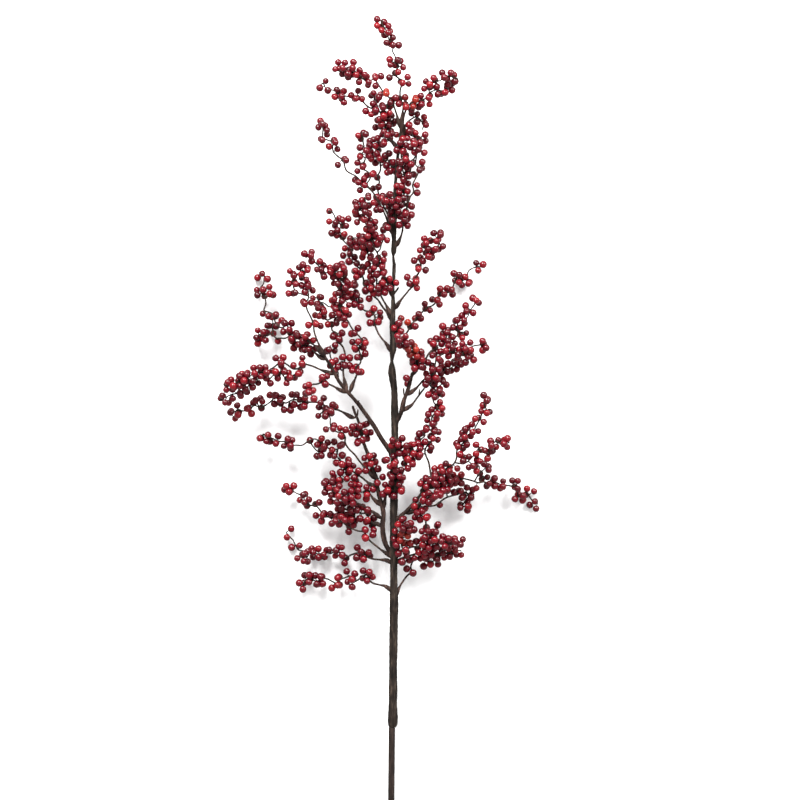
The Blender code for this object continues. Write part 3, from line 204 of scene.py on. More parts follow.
    "twig_left_long": ("branch_left", 14, [(-65, 543), (-74, 546), (-82, 549), (-91, 553), (-98, 555),
      (-103, 557, 2), (-106, 551, 3), (-113, 550, 1), (-119, 554), (-126, 558, 3), (-131, 555), (-136, 551, 1),
      (-143, 547, 2), (-150, 546, 2), (-157, 546, 3), (-163, 541, 2), (-169, 538, 2), (-176, 535, 2),
      (-182, 532, 2), (-189, 531, 3), (-193, 533, 1)],
      (0, [(-107, 551), (-104, 545, 1), (-110, 544), (-116, 541, 2), (-121, 538, 2), (-127, 545, 3),
        (-135, 543, 2), (-141, 538, 1), (-148, 539), (-155, 538, 1), (-162, 533, 3), (-167, 528, 2),
        (-174, 528, 2), (-178, 522, 2), (-183, 521, 1), (-189, 518), (-191, 513, 2), (-197, 515, 1)])),
    "twig_low_left_long": ("branch_low_left", -22, [(-41, 494), (-47, 495), (-54, 499), (-62, 503),
      (-69, 504, 2), (-76, 507, 3), (-82, 511, 2), (-89, 512), (-95, 512), (-100, 512, 3), (-107, 514),
      (-112, 515), (-116, 514, 3), (-122, 511), (-128, 514, 2), (-134, 517, 3), (-140, 512), (-146, 508, 1),
      (-151, 506, 3), (-158, 508), (-164, 503, 3), (-171, 502), (-177, 503, 2), (-184, 498, 2)],
      (-18, [(-77, 507), (-79, 502, 2), (-83, 498, 1)]),
      (-18, [(-117, 514), (-119, 505, 2)]),
      (-16, [(-113, 515), (-110, 520, 2)]),
      (-20, [(-152, 506), (-156, 515, 2)])),
    "twig_low_left_thin": ("branch_low_left", 18, [(-18, 422), (-26, 431), (-32, 438), (-38, 445), (-43, 452),
      (-50, 459), (-54, 466), (-54, 472, 1), (-57, 477, 2), (-63, 478), (-69, 482, 2), (-71, 488), (-71, 494),
      (-75, 500, 2)]),
    "twig_low_left_upper": ("branch_low_left", -14, [(-16, 411), (-22, 416), (-28, 420), (-35, 426),
      (-41, 430, 3), (-48, 435, 3), (-55, 440, 3), (-60, 446, 1), (-64, 451, 2), (-63, 458, 2), (-70, 458),
      (-77, 462, 3), (-83, 467, 2), (-89, 470), (-95, 468, 3), (-103, 463), (-110, 463), (-116, 463, 3),
      (-121, 467, 3), (-127, 467), (-132, 468, 2), (-138, 471), (-143, 472, 3), (-148, 476, 3)],
      (-6, [(-55, 439), (-57, 431, 2), (-62, 425, 2), (-69, 425, 2)]),
      (-4, [(-63, 451), (-69, 448, 2)]),
      (-6, [(-63, 457), (-61, 465, 2)]),
      (-16, [(-94, 468), (-89, 459), (-82, 453, 2)])),
    "twig_low_left_ring": ("branch_low_left", 14, [(-11, 378), (-18, 383), (-24, 388), (-31, 392), (-38, 396),
      (-44, 398), (-49, 402, 3), (-55, 404, 3), (-61, 405, 3), (-67, 410, 3), (-72, 416, 3), (-79, 415, 3)],
      (10, [(-60, 405), (-65, 399, 2), (-69, 395, 1)])),
    "twig_low_left_inner": ("branch_low_left", 8, [(-12, 392), (-18, 398), (-23, 403), (-27, 409, 3),
      (-31, 411, 1), (-36, 409), (-40, 413, 2), (-45, 408, 3)]),
    "twig_low_left_back": ("branch_low_left", -20, [(-11, 368), (-17, 373), (-22, 373), (-27, 378, 2),
      (-29, 385, 2), (-35, 385), (-41, 387, 3), (-46, 390, 3), (-52, 389), (-57, 391, 2), (-58, 385, 2),
      (-63, 383, 1), (-70, 381, 2), (-75, 381), (-80, 381, 3), (-82, 387), (-87, 393), (-93, 394),
      (-98, 395, 2), (-101, 401), (-103, 405, 2), (-110, 408), (-116, 412, 2), (-120, 417, 2)],
      (-14, [(-43, 388), (-44, 380, 2), (-47, 374, 3), (-44, 369, 2)]),
      (-18, [(-91, 394), (-88, 399, 2)]),
      (-6, [(-24, 374), (-25, 368, 2)])),
    "twig_low_left_short": ("stem_lower", 6, [(1.3, 333), (-8, 340), (-14, 344), (-20, 349), (-26, 354),
      (-29, 359, 2), (-33, 364, 3), (-39, 365), (-45, 367), (-51, 370), (-56, 374), (-60, 376, 2),
      (-65, 373, 1)]),
    "twig_bottom_left_upper": ("stem_lower", -31, [(1.3, 326), (-6, 331), (-14, 332), (-23, 333), (-30, 336, 2),
      (-33, 342, 2), (-38, 340, 3), (-43, 339), (-50, 336), (-55, 333, 2), (-59, 338), (-64, 342, 3),
      (-71, 339, 1), (-77, 340, 2), (-84, 338, 3), (-90, 340, 2), (-97, 340), (-103, 342), (-108, 343, 1),
      (-111, 348, 2), (-114, 354), (-119, 359, 1), (-122, 363, 3)],
      (-2, [(-96, 340), (-98, 335, 2), (-104, 335, 2)])),
    "twig_bottom_left": ("stem_lower", -16, [(1.5, 294), (-7, 301), (-14, 303), (-22, 305), (-27, 309, 2),
      (-29, 315, 3), (-35, 312), (-41, 308), (-46, 306, 3), (-48, 313, 3), (-55, 311), (-61, 309, 2),
      (-64, 305, 2), (-69, 307), (-75, 310), (-81, 310, 3), (-87, 307, 3), (-94, 310, 3), (-99, 309, 1),
      (-102, 304, 2), (-102, 298, 1)]),
    "twig_bottom_right": ("stem_lower", -12, [(1.6, 286), (7, 299), (11, 306), (16, 313), (21, 318, 3),
      (21, 325), (24, 331), (31, 333), (37, 331, 2), (44, 330, 2), (52, 332, 2)]),
    "twig_right_low": ("stem_lower", 2, [(1.3, 326), (9, 332, 3), (17, 336, 3), (24, 338, 1), (30, 340, 2),
      (37, 341, 2), (44, 338, 3), (51, 337, 2), (58, 339, 2), (65, 340, 3), (72, 342, 3), (78, 343, 3)]),
    "twig_right_low_upper": ("stem_lower", 22, [(1.3, 333), (8, 341, 3), (15, 344, 2), (22, 347, 1),
      (29, 347, 3), (36, 350, 3), (43, 350, 3), (50, 352, 2), (57, 354, 2), (63, 352, 2), (69, 350),
      (73, 354, 3), (80, 351, 3)],
      (24, [(29, 348), (35, 355), (37, 361, 3), (44, 360, 2), (51, 359, 2)]),
      (22, [(12, 343), (10, 350), (11, 357, 2), (8, 365, 2), (14, 370), (20, 371, 3)])),
    "twig_right_low_arch": ("twig_right_low_upper", 12, [(43, 350), (43, 357), (40, 363), (38, 368), (38, 373),
      (37, 380, 3), (32, 383, 3), (26, 384, 3)],
      (10, [(40, 362), (45, 367, 3), (52, 366, 2)])),
    "twig_front_stem": ("branch_low_left", 18, [(-11, 388), (-9, 399), (-7, 407, 2), (-5, 414, 3), (2, 411, 3),
      (4, 420, 2), (7, 426, 3), (0, 430, 3), (5, 436, 3), (0, 442, 3), (-2, 449, 2)]),
    "twig_right_tall": ("branch_right_low", 16, [(38.5, 412), (44, 423), (43, 433), (41, 444), (38, 451, 1),
      (37, 458, 2), (41, 464, 3), (47, 471, 3), (45, 478, 3), (41, 483, 3), (44, 489, 3), (45, 495, 3),
      (49, 501, 2), (51, 506, 2), (47, 512), (46, 519, 3), (53, 520, 2), (57, 517, 1)],
      (16, [(38, 452), (30, 454, 3), (22, 455, 3), (15, 457, 3), (8, 457, 3), (4, 464, 3), (4, 471, 3)]),
      (4, [(36.5, 459), (31, 462, 2), (32, 469, 2), (37, 474), (33, 479, 2)]),
      (12, [(20, 455), (18, 447, 2), (13, 442, 3), (20, 439, 1)])),
    "twig_right_low_inner": ("branch_right_low", 22, [(21, 392), (28, 393, 2), (32, 397, 2), (37, 401, 3),
      (43, 404, 3), (49, 402, 1), (50, 409, 2)]),
    "twig_right_low_back": ("branch_right_low", -22, [(13, 385), (19, 386), (27, 389, 1), (33, 392), (40, 393),
      (48, 394), (53, 397, 1), (58, 401), (64, 404), (72, 406), (78, 408, 3), (84, 409, 3), (87, 404, 2),
      (83, 399), (80, 393, 2), (87, 393, 2)],
      (-14, [(62, 403), (62, 408), (63, 413, 2)])),
    "twig_right_up": ("branch_right_low", 34, [(38, 411.5), (47, 420, 1), (53, 428, 3), (58, 434, 3),
      (64, 438, 3), (70, 442, 3), (73, 449), (73, 456), (76, 462, 3), (82, 467, 3), (84, 474, 3), (86, 480, 2),
      (92, 480, 2), (96, 487), (99, 492, 2), (102, 499), (107, 502, 2), (105, 508, 1), (104, 513),
      (108, 517, 2)],
      (44, [(71, 443), (79, 442), (85, 444, 2), (89, 448), (94, 453), (98, 459, 2), (104, 455), (108, 453, 3),
        (110, 459, 1), (114, 464, 2), (118, 468, 1), (123, 464), (128, 465, 3), (133, 466, 2)]),
      (30, [(84, 444), (82, 450, 2)]),
      (34, [(86, 445), (91, 441, 2), (96, 438, 2)])),
    "twig_right_long": ("branch_right_low", -33, [(39, 412.5), (50, 417, 3), (57, 420, 3), (64, 422, 3),
      (71, 424, 3), (78, 425, 3), (85, 424), (92, 422), (98, 420, 2), (104, 421), (109, 420, 2), (116, 421, 3),
      (121, 419), (125, 417, 3), (131, 417), (137, 416), (142, 417, 3), (143, 410), (144, 404, 3), (149, 406),
      (154, 408, 2), (158, 402), (161, 398, 3), (167, 396, 1)],
      (-4, [(94, 421), (98, 429), (104, 435), (109, 439, 3)]),
      (-14, [(97, 427), (99, 434), (99, 440)]),
      (-18, [(100, 420), (104, 428, 3)])),
    "twig_right_fork": ("branch_right_low", 8, [(32, 406), (34, 413), (35, 419, 2), (39, 415, 1)]),
    "twig_right_mid_orange": ("branch_right_mid", 34, [(22, 544), (27, 553, 3), (28, 560, 2), (28, 567, 3),
      (24, 572, 3), (18, 576, 3), (12, 580, 2), (9, 586, 2)]),
    "twig_right_mid_high": ("branch_right_mid", -14, [(22, 541), (31, 555, 2), (37, 560, 3), (41, 567),
      (45, 571, 1), (50, 574, 3), (49, 581, 3), (56, 581, 1), (62, 582, 3), (69, 584, 3), (74, 589, 3),
      (74, 597, 2), (75, 604, 3), (81, 606, 3), (86, 610), (87, 615, 3), (91, 620), (95, 626), (97, 629, 2)],
      (-8, [(60, 582), (62, 590, 3), (61, 597, 2)]),
      (-14, [(75, 592), (81, 592, 2)])),
    "twig_right_mid_long": ("branch_right_mid", 16, [(15, 519), (22, 524), (28, 529), (34, 536, 1),
      (40, 541, 2), (46, 544, 3), (47, 550, 2), (49, 557), (50, 563, 2), (56, 566), (62, 569, 2), (68, 569, 3),
      (75, 567, 3), (81, 568, 3), (86, 572, 3), (92, 576), (98, 577), (103, 578, 2), (109, 577, 1)],
      (14, [(80, 568), (85, 562, 2), (91, 565, 2)]),
      (22, [(85, 571), (84, 578, 2)])),
    "twig_right_mid_low": ("branch_right_mid", -16, [(10, 501), (16, 505), (22, 509), (28, 517), (34, 525),
      (39, 531, 1), (45, 535, 1), (50, 539, 3), (55, 544, 1), (59, 550, 3), (65, 550, 2), (71, 554, 3),
      (77, 554, 2)],
      (-8, [(41, 532), (47, 530, 2), (53, 530, 3), (59, 536, 3)]),
      (-4, [(30, 520), (31, 527)])),
}

# Short bare stubs that belong to the piece named: foot and tip (across, along), height of the tip, radius.
STUBS = {
    "stem_middle": [((1, 634), (7, 643), 0, 1.2)],
    "branch_left": [((-62, 537), (-62, 547), 22, 1.1), ((-41, 508), (-38, 514), 20, 1.0)],
    "branch_right_mid": [((13, 518), (12.5, 528), 8, 1.1)],
    "branch_low_left": [((-40, 495), (-39.5, 504), -2, 1.2)],
}


def stem_line_z(along):
    return ROD_R + STEM_RISE * along


def spline(points):
    """Even samples of a smooth curve through the points: list of (distance, point)."""
    ends = [points[0] * 2 - points[1]] + list(points) + [points[-1] * 2 - points[-2]]
    samples, travelled = [(0.0, points[0].copy())], 0.0
    for a, b, c, d in zip(ends, ends[1:], ends[2:], ends[3:]):
        count = max(2, int((c - b).length / CURVE_STEP))
        for i in range(1, count + 1):
            t = i / count
            p = 0.5 * (2 * b + (c - a) * t + (2 * a - 5 * b + 4 * c - d) * t * t
                       + (3 * b - a - 3 * c + d) * t ** 3)
            travelled += (p - samples[-1][1]).length
            samples.append((travelled, p))
    return samples


def point_at(line, distance):
    """Point and direction on a sampled curve; straight beyond its ends."""
    for (d0, p0), (d1, p1) in zip(line, line[1:]):
        if distance <= d1:
            break
    direction = (p1 - p0).normalized()
    return p0 + direction * (distance - d0), direction


def flat_distance(p, station):
    """Squared distance from a point to a station seen from above."""
    return (p.x - station[0]) ** 2 + (p.y - station[1]) ** 2


def nearest(line, station):
    """Point of a curve nearest to a station seen from above."""
    return min((p for _, p in line), key=lambda p: flat_distance(p, station)).copy()


def along_table(pairs, distance):
    """Straight-line interpolation in (distance, value) pairs."""
    for (d0, v0), (d1, v1) in zip(pairs, pairs[1:]):
        if distance <= d1:
            return v0 + (v1 - v0) * max(0.0, distance - d0) / max(d1 - d0, 1e-9)
    return pairs[-1][1]


def spoke(u, v, angle):
    """Direction at an angle in the plane of two directions."""
    return u * math.cos(angle) + v * math.sin(angle)


class Run:
    """One unbranched length of wood: its curve, its radius and its whorls of berries."""

    def __init__(self, node, points, radius, counts=()):
        self.node = node
        self.line = spline(points)
        self.length = self.line[-1][0]
        self.radius = radius(self.length)  # (distance, radius), from the foot to the tip
        self.collar = 0.0  # length of the wire wrapped round the foot
        self.marks, at = [], 0  # (distance, berries wanted there)
        for p, count in zip(points, counts):
            while at < len(self.line) - 1 and (self.line[at][1] - p).length > 1e-3:
                at += 1
            self.marks.append((self.line[at][0], count))
        self.whorls = []  # (distance, angle, [(side, space), ...])

    def frame(self, distance):
        """Point with two directions across the curve that do not spin along it."""
        p, t = point_at(self.line, distance)
        side = t.cross(Vector((0, 0, 1)))
        side = side.normalized() if side.length > 1e-6 else Vector((1, 0, 0))
        return p, side, t.cross(side)

    def berry_centre(self, distance, angle, side, space):
        """Centre of the berry on one of the three sides of a whorl, and its direction from the twig."""
        p, u, v = self.frame(distance)
        out = spoke(u, v, angle + math.radians(60 + 120 * side))
        return p + out * (along_table(self.radius, distance) + space + BERRY_R), out


def collar_length(length):
    return min(COLLAR_LEN, length * COLLAR_SHARE)


def twig_radius(length):
    collar = collar_length(length)
    return [(0, COLLAR_R * 0.7), (collar * 0.5, COLLAR_R), (collar, WIRE_R[0]), (length, WIRE_R[1])]


def shoot_radius(length):
    return [(0, SHOOT_R), (length, WIRE_R[1])]


def stem_run(name):
    run = Run(name, [Vector((x, y, stem_line_z(y))) for x, y, _ in STEM[name]], lambda length: [])
    at = 0
    for _, y, r in STEM[name]:
        while at < len(run.line) - 1 and run.line[at][1].y < y - 1e-3:
            at += 1
        run.radius.append((run.line[at][0], r))
    return run


def side_run(name, foot, stations, tip_height, radius):
    """Run that leaves its parent at the foot and climbs evenly to the height of its tip."""
    flat = [Vector((*station[:2], 0)) for station in stations]
    lengths = [0.0]
    for a, b in zip(flat, flat[1:]):
        lengths.append(lengths[-1] + (b - a).length)
    foot_height = foot.z - stem_line_z(foot.y)
    points = []
    for flat_point, length in zip(flat, lengths):
        part = length / lengths[-1]
        z = stem_line_z(flat_point.y) + foot_height + (tip_height - foot_height) * part
        points.append(Vector((flat_point.x, flat_point.y, max(z, BERRY_R))))
    points[0] = foot
    return Run(name, points, radius, [station[2] if len(station) > 2 else 0 for station in stations])


def stub_run(name, parent, ends, height, radius):
    """Short bare run from one end to the other."""
    (x0, y0), (x1, y1) = ends
    stations = [(x0, y0), ((x0 + x1) / 2, (y0 + y1) / 2), (x1, y1)]
    shape = (lambda length: [(0, radius), (length, radius * 0.8)])
    return side_run(name, nearest(parent.line, ends[0]), stations, height, shape)


def lay_out():
    """Curves of every piece: {node: [main run, side run, ...]}."""
    runs = {name: [stem_run(name)] for name in STEM}
    for name, (parent, r0, r1, height, stations) in BRANCHES.items():
        foot = nearest(runs[parent][0].line, stations[0])
        shape = (lambda a, b: lambda length: [(0, a * 0.85), (length * 0.1, a), (length, b)])(r0, r1)
        runs[name] = [side_run(name, foot, stations, height, shape)]
    for name, (parent, height, stations, *shoots) in TWIGS.items():
        foot = nearest(runs[parent][0].line, stations[0])
        runs[name] = [side_run(name, foot, stations, height, twig_radius)]
        runs[name][0].collar = collar_length(runs[name][0].length)
        for shoot_height, shoot in shoots:
            feet = [nearest(run.line, shoot[0]) for run in runs[name]]
            foot = min(feet, key=lambda p: flat_distance(p, shoot[0]))
            runs[name].append(side_run(name, foot, shoot, shoot_height, shoot_radius))
    return runs


def every_run(runs):
    return [run for parts in runs.values() for run in parts]


class Cells:
    """Things kept by the cube of space they are in, so that only near ones are compared."""

    def __init__(self, side):
        self.side, self.held = side, {}

    def key(self, p):
        return tuple(int(math.floor(c / self.side)) for c in p)

    def put(self, p, thing):
        self.held.setdefault(self.key(p), []).append(thing)

    def near(self, p):
        i, j, k = self.key(p)
        for di, dj, dk in itertools.product((-1, 0, 1), repeat=3):
            yield from self.held.get((i + di, j + dj, k + dk), ())


def grow_berries(runs):
    """Chooses the whorls of every run so that no berry cuts another berry or another piece of wood."""
    wood, berries = Cells(WHORL_CELL), Cells(WHORL_CELL)
    for run in every_run(runs):
        for d, p in run.line:
            wood.put(p, (run, p, along_table(run.radius, d)))

    def fits(run, centre, mates):
        if centre.z < BERRY_R:
            return False
        for other, p, r in wood.near(centre):
            apart = (p - centre).length
            if other is run:
                if apart < BERRY_R + r * OWN_WIRE:
                    return False
            elif apart < BERRY_R + r + (CLEAR if other.node != run.node else OWN_CLEAR):
                return False
        for node, c in berries.near(centre):
            if (c - centre).length < (TOUCH if node == run.node else 2 * BERRY_R + CLEAR):
                return False
        return all((c - centre).length >= TOUCH for c in mates)

    rng = random.Random(PLAN_SEED)
    feet = [run.line[0][1] for run in every_run(runs)]
    for run in every_run(runs):
        angle, last = rng.uniform(0, 2 * math.pi), -10.0
        for mark, wanted in run.marks:
            at = min(max(mark, WHORL_START), run.length - WHORL_HALF - WHORL_END)
            here, _ = point_at(run.line, at)
            if wanted == 0 or at - last < WHORL_SPACE or any((foot - here).length < FORK for foot in feet):
                continue
            best = None
            for turn in TURNS:
                start = angle + math.radians(turn)
                mates, chosen = [], []
                order = [0, 1, 2]
                rng.shuffle(order)
                for side in order:
                    for space in STALKS:
                        centre, _ = run.berry_centre(at, start, side, space)
                        if len(mates) < wanted and fits(run, centre, mates):
                            mates.append(centre)
                            chosen.append((side, space))
                            break
                if len(mates) > (len(best[2]) if best else 0):
                    best = (start, sorted(chosen), mates)
                if len(mates) == wanted:
                    break
            if best:
                angle, last = best[0], at
                run.whorls.append((at, angle, best[1]))
                for centre in best[2]:
                    berries.put(centre, (run.node, centre))


# ---- fine shapes ----
FINE_STEP = 1.5  # distance between the rings of a fine tube
THINNEST = 0.25  # least radius of a fine tube
STEM_SIDES, BRANCH_SIDES, TWIG_SIDES, STALK_SIDES = 28, 18, 9, 6
JOINT = 0.6  # how far the skin of one stem section reaches into the next
CUT_ROUND, TIP_ROUND = 0.9, 0.55  # radius at the end of a stem section and of other wood, as shares
TAPE_PITCH = 7.5  # distance between the turns of tape on the stem
BRANCH_PITCH = TAPE_PITCH * 0.7
TAPE_EDGE = 0.85  # share of a turn over which the tape climbs, before it drops at its edge
COLLAR_PITCH = 3.4  # distance between the turns of wire round the foot of a twig
COLLAR_FADE = 1.15  # where that wire ends, in collar lengths
SWELL = 2.2  # half length of the swelling at a whorl
ROD_PAINT = 0.45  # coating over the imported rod, none where its end rests on the ground
ROD_REST = 50  # length of rod over which it reaches full thickness
ROD_CAMBER = 15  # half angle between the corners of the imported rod
STALK_R = (0.75, 0.5)  # radius of a berry's stalk at the wire and near the berry
STALK_SHARE = 0.45  # share of the way to the berry's centre that it is drawn
BERRY_SIDES = 12
BERRY_RINGS = 8
EYE_EDGE = 0.05  # half turns from the middle of a berry's eye to its rim
EYE_DEPTH = (0.06, 0.10)  # depth of the eye at its rim and in its middle, in berry radii


def plan_offset():
    """Where the plan's (0, 0, 0) is in the row frame, in millimetres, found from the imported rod."""
    low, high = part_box("stem_rod")
    (x0, y0, _), (x1, y1, r1) = STEM["stem_rod"][0], STEM["stem_rod"][-1]
    top = stem_line_z(y1) + r1 * math.cos(math.radians(ROD_CAMBER))
    return Vector(((low[0] + high[0]) / 2 / MM - (x0 + x1) / 2,
                   (low[1] + high[1]) / 2 / MM - (y0 + y1) / 2, high[2] / MM - top))


def ramp(value, low, high):
    return min(1.0, max(0.0, (value - low) / (high - low)))


def tape_turn(turns):
    """Height of a spiral of tape: each turn climbs and drops at its edge."""
    part = turns % 1.0
    return part if part < TAPE_EDGE else (1 - part) / (1 - TAPE_EDGE) * TAPE_EDGE


def wrinkle(d, turn, across, along):
    """Long folds: noise on a circle, so that it closes round the wood, drawn out along it."""
    angle = turn * 2 * math.pi
    return noise.noise(Vector((math.cos(angle) * across, math.sin(angle) * across, d * along)))


# A skin gives how far the surface stands out at a distance along the run, a turn round it and a point p
# of the plain tube.
def stem_skin(run, d, turn, p):
    """Taped stem: spiral edges, long wrinkles and soft lumps."""
    wrap = tape_turn(d / TAPE_PITCH + turn + 0.35 * noise.noise(Vector((d * 0.03, turn, 3.0))))
    lump = noise.noise(p * 0.045)
    return 0.30 * (wrap - 0.5) + 0.42 * wrinkle(d, turn, 2.2, 0.06) + 0.45 * lump


def rod_skin(run, d, turn, p):
    return ROD_PAINT * min(1.0, d / ROD_REST) + 0.05 * noise.noise(p * 0.2)


def branch_skin(run, d, turn, p):
    wrap = tape_turn(d / BRANCH_PITCH + turn)
    return 0.22 * (wrap - 0.5) + 0.30 * wrinkle(d, turn, 1.6, 0.09) + 0.35 * noise.noise(p * 0.08)


def twig_skin(run, d, turn, p):
    """Wire coil over the foot, small bark knots further out, a swelling at every whorl."""
    coil = math.sin(math.pi * min(1.0, d / (run.collar * COLLAR_FADE))) ** 1.5 if run.collar else 0.0
    knots = 0.16 * noise.noise(p * 0.35) + 0.10 * noise.noise(p * 0.9)
    swell = max([0.0] + [1 - abs(d - at) / SWELL for at, _, _ in run.whorls])
    slim = 0.8 * (1 - ramp(d, 1.0, 5.0)) if run.collar else 0.0
    return coil * (0.50 + 0.35 * tape_turn(d / COLLAR_PITCH + turn)) - slim + knots + 0.22 * swell


def skirt(bm, a, b):
    """Closes the space between two rings of corners; gives the new faces."""
    sides = [(k, (k + 1) % len(a)) for k in range(len(a))]
    return [bm.faces.new((a[n], a[k], b[k], b[n])) for k, n in sides]


def cap_and_join(bm, rings):
    """Closes a stack of rings into one body."""
    bm.faces.new(rings[0])
    bm.faces.new(list(reversed(rings[-1])))
    for a, b in zip(rings, rings[1:]):
        skirt(bm, a, b)


def tube(bm, run, sides, skin, overlap=0.0, rounding=TIP_ROUND):
    """Closed fine tube with its surface moved in and out by the skin function."""
    start, end = -overlap, run.length + overlap
    count = max(2, int((end - start) / FINE_STEP))
    rings = []
    for i in range(count + 1):
        d = start + (end - start) * i / count
        p, u, v = run.frame(d)
        base = along_table(run.radius, d)
        cap = min(1.0, rounding + (1 - rounding) * min(d - start, end - d) / FINE_STEP)
        ring = []
        for k in range(sides):
            out = spoke(u, v, k / sides * 2 * math.pi)
            radius = (base + skin(run, d, k / sides, p + out * base)) * cap
            ring.append(bm.verts.new(p + out * max(THINNEST, radius)))
        rings.append(ring)
    cap_and_join(bm, rings)


def stalk(bm, foot, centre):
    """Short stalk from the wire into the berry."""
    axis = (centre - foot).normalized()
    u = axis.orthogonal().normalized()
    v = axis.cross(u)
    turns = [2 * math.pi * k / STALK_SIDES for k in range(STALK_SIDES)]
    cap_and_join(bm, [[bm.verts.new(place + spoke(u, v, turn) * r) for turn in turns]
                      for place, r in zip((foot, foot.lerp(centre, STALK_SHARE)), STALK_R)])


def fruit(bm, tint_layer, centre, out, radius, tint, rng):
    """One berry: a slightly squashed ball with a dark dimpled eye at its far end."""
    u = out.orthogonal().normalized()
    v = out.cross(u)
    squash, lean = rng.uniform(*SQUASH), rng.uniform(0, 2 * math.pi)
    rings = []
    for i in range(1, BERRY_RINGS):
        polar = math.pi * i / BERRY_RINGS if i > 1 else math.pi * EYE_EDGE
        height = math.cos(polar) * squash - (EYE_DEPTH[0] if i == 1 else 0.0)
        ring = []
        for k in range(BERRY_SIDES):
            turn = lean + 2 * math.pi * k / BERRY_SIDES
            wide = math.sin(polar) * (1 + LOBES * math.cos(3 * turn))
            ring.append(bm.verts.new(centre + (out * height + spoke(u, v, turn) * wide) * radius))
        rings.append(ring)
    eye = bm.verts.new(centre + out * (squash - EYE_DEPTH[1]) * radius)
    foot = bm.verts.new(centre - out * squash * radius)
    faces = []
    for k in range(BERRY_SIDES):
        n = (k + 1) % BERRY_SIDES
        faces.append(bm.faces.new((eye, rings[0][k], rings[0][n])))
        faces[-1].material_index = 1
        faces.append(bm.faces.new((foot, rings[-1][n], rings[-1][k])))
    for a, b in zip(rings, rings[1:]):
        faces += skirt(bm, a, b)
    for face in faces:
        for loop in face.loops:
            loop[tint_layer] = tint


def piece(name, bm, materials):
    """Mesh object in the row frame from a bmesh in the plan's millimetres."""
    bmesh.ops.recalc_face_normals(bm, faces=bm.faces)
    for v in bm.verts:
        v.co = (v.co + OFFSET) * MM
    mesh = bpy.data.meshes.new(name)
    bm.to_mesh(mesh)
    bm.free()
    for polygon in mesh.polygons:
        polygon.use_smooth = True
    for mat in materials:
        mesh.materials.append(mat)
    ob = place_object(name, mesh)
    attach(ob, "root")
    return ob


def place_object(name, data):
    ob = bpy.data.objects.new(name, data)
    bpy.context.scene.collection.objects.link(ob)
    return ob


# ---- materials ----
class Nodes:
    """The nodes of a material or the world. Values go to sockets by name: To_Min is the socket To Min."""

    def __init__(self, owner, shader="Principled BSDF"):
        owner.use_nodes = True
        self.owner, self.tree = owner, owner.node_tree
        self.shader = self.tree.nodes[shader]

    def fill(self, node, **values):
        """Joins each socket named to another socket, or sets it, or sets the node's own property."""
        for key, value in values.items():
            socket = node.inputs.get(key.replace("_", " "))
            if socket is None:
                setattr(node, key, value)
            elif isinstance(value, bpy.types.NodeSocket):
                self.tree.links.new(value, socket)
            else:
                socket.default_value = value
        return node

    def add(self, kind, out=0, **values):
        """Adds a node; gives its output of that name or number."""
        return self.fill(self.tree.nodes.new("ShaderNode" + kind), **values).outputs[out]

    def noise(self, scale, detail=4.0, rough=0.55, stretch=(1, 1, 1)):
        place = self.add("Mapping", Vector=self.add("TexCoord", "Object"), Scale=stretch)
        return self.add("TexNoise", "Fac", Vector=place, Scale=scale, Detail=detail, Roughness=rough)

    def ramp(self, source, stops):
        colour = self.add("ValToRGB", "Color", Fac=source)
        elements = colour.node.color_ramp.elements
        while len(elements) < len(stops):
            elements.new(0.5)
        for element, (place, value) in zip(elements, stops):
            element.position, element.color = place, (*value, 1.0)
        return colour

    def mix(self, kind, share, a, b):
        node = self.add("Mix", data_type="RGBA", blend_type=kind).node
        return self.fill(node, Factor=share, A=a, B=b).outputs["Result"]

    def bump(self, source, strength, distance):
        normal = self.add("Bump", "Normal", Height=source, Strength=strength, Distance=distance)
        self.fill(self.shader, Normal=normal)


def new_material(name):
    return Nodes(bpy.data.materials.new(name))


def bark_material(name, dark, mid, pale, roughness):
    """Brown tape with long fibres, dusty high spots and fine crackle."""
    n = new_material(name)
    fibres = n.noise(420.0, 6.0, 0.6, (1.0, 0.16, 1.0))
    patches = n.noise(55.0, 3.0, 0.5)
    base = n.ramp(fibres, ((0.30, dark), (0.52, mid), (0.72, pale)))
    dusty = n.ramp(patches, ((0.35, (0.55, 0.52, 0.50)), (0.70, (1.35, 1.25, 1.18))))
    colour = n.mix("MULTIPLY", 1.0, base, dusty)
    n.fill(n.shader, Base_Color=colour, Roughness=roughness, Specular_IOR_Level=0.18)
    n.bump(fibres, 0.55, 0.0006)
    return n.owner


def berry_material():
    """Lacquered red: darker and lighter berries, a faint mottle, a clear coat."""
    n = new_material("berry_red")
    tint = n.add("Attribute", "Color", attribute_name="tint")
    mottle = n.ramp(n.noise(260.0, 3.0, 0.5), ((0.35, (0.78, 0.72, 0.72)), (0.65, (1.12, 1.10, 1.10))))
    rough = n.ramp(n.noise(180.0, 2.0, 0.5), ((0.3, (0.28, 0.28, 0.28)), (0.7, (0.42, 0.42, 0.42))))
    n.fill(n.shader, Base_Color=n.mix("MULTIPLY", 1.0, tint, mottle), Roughness=rough,
           Specular_IOR_Level=0.05, Coat_Weight=1.0, Coat_Roughness=0.17,
           Subsurface_Weight=0.06, Subsurface_Radius=(1.0, 0.25, 0.15), Subsurface_Scale=0.002)
    n.bump(n.noise(900.0, 2.0, 0.5), 0.12, 0.0002)
    return n.owner


def eye_material():
    n = new_material("berry_eye")
    colour = n.ramp(n.noise(700.0), ((0.3, (0.012, 0.004, 0.004)), (0.7, (0.045, 0.010, 0.009))))
    n.fill(n.shader, Base_Color=colour, Roughness=0.8)
    return n.owner


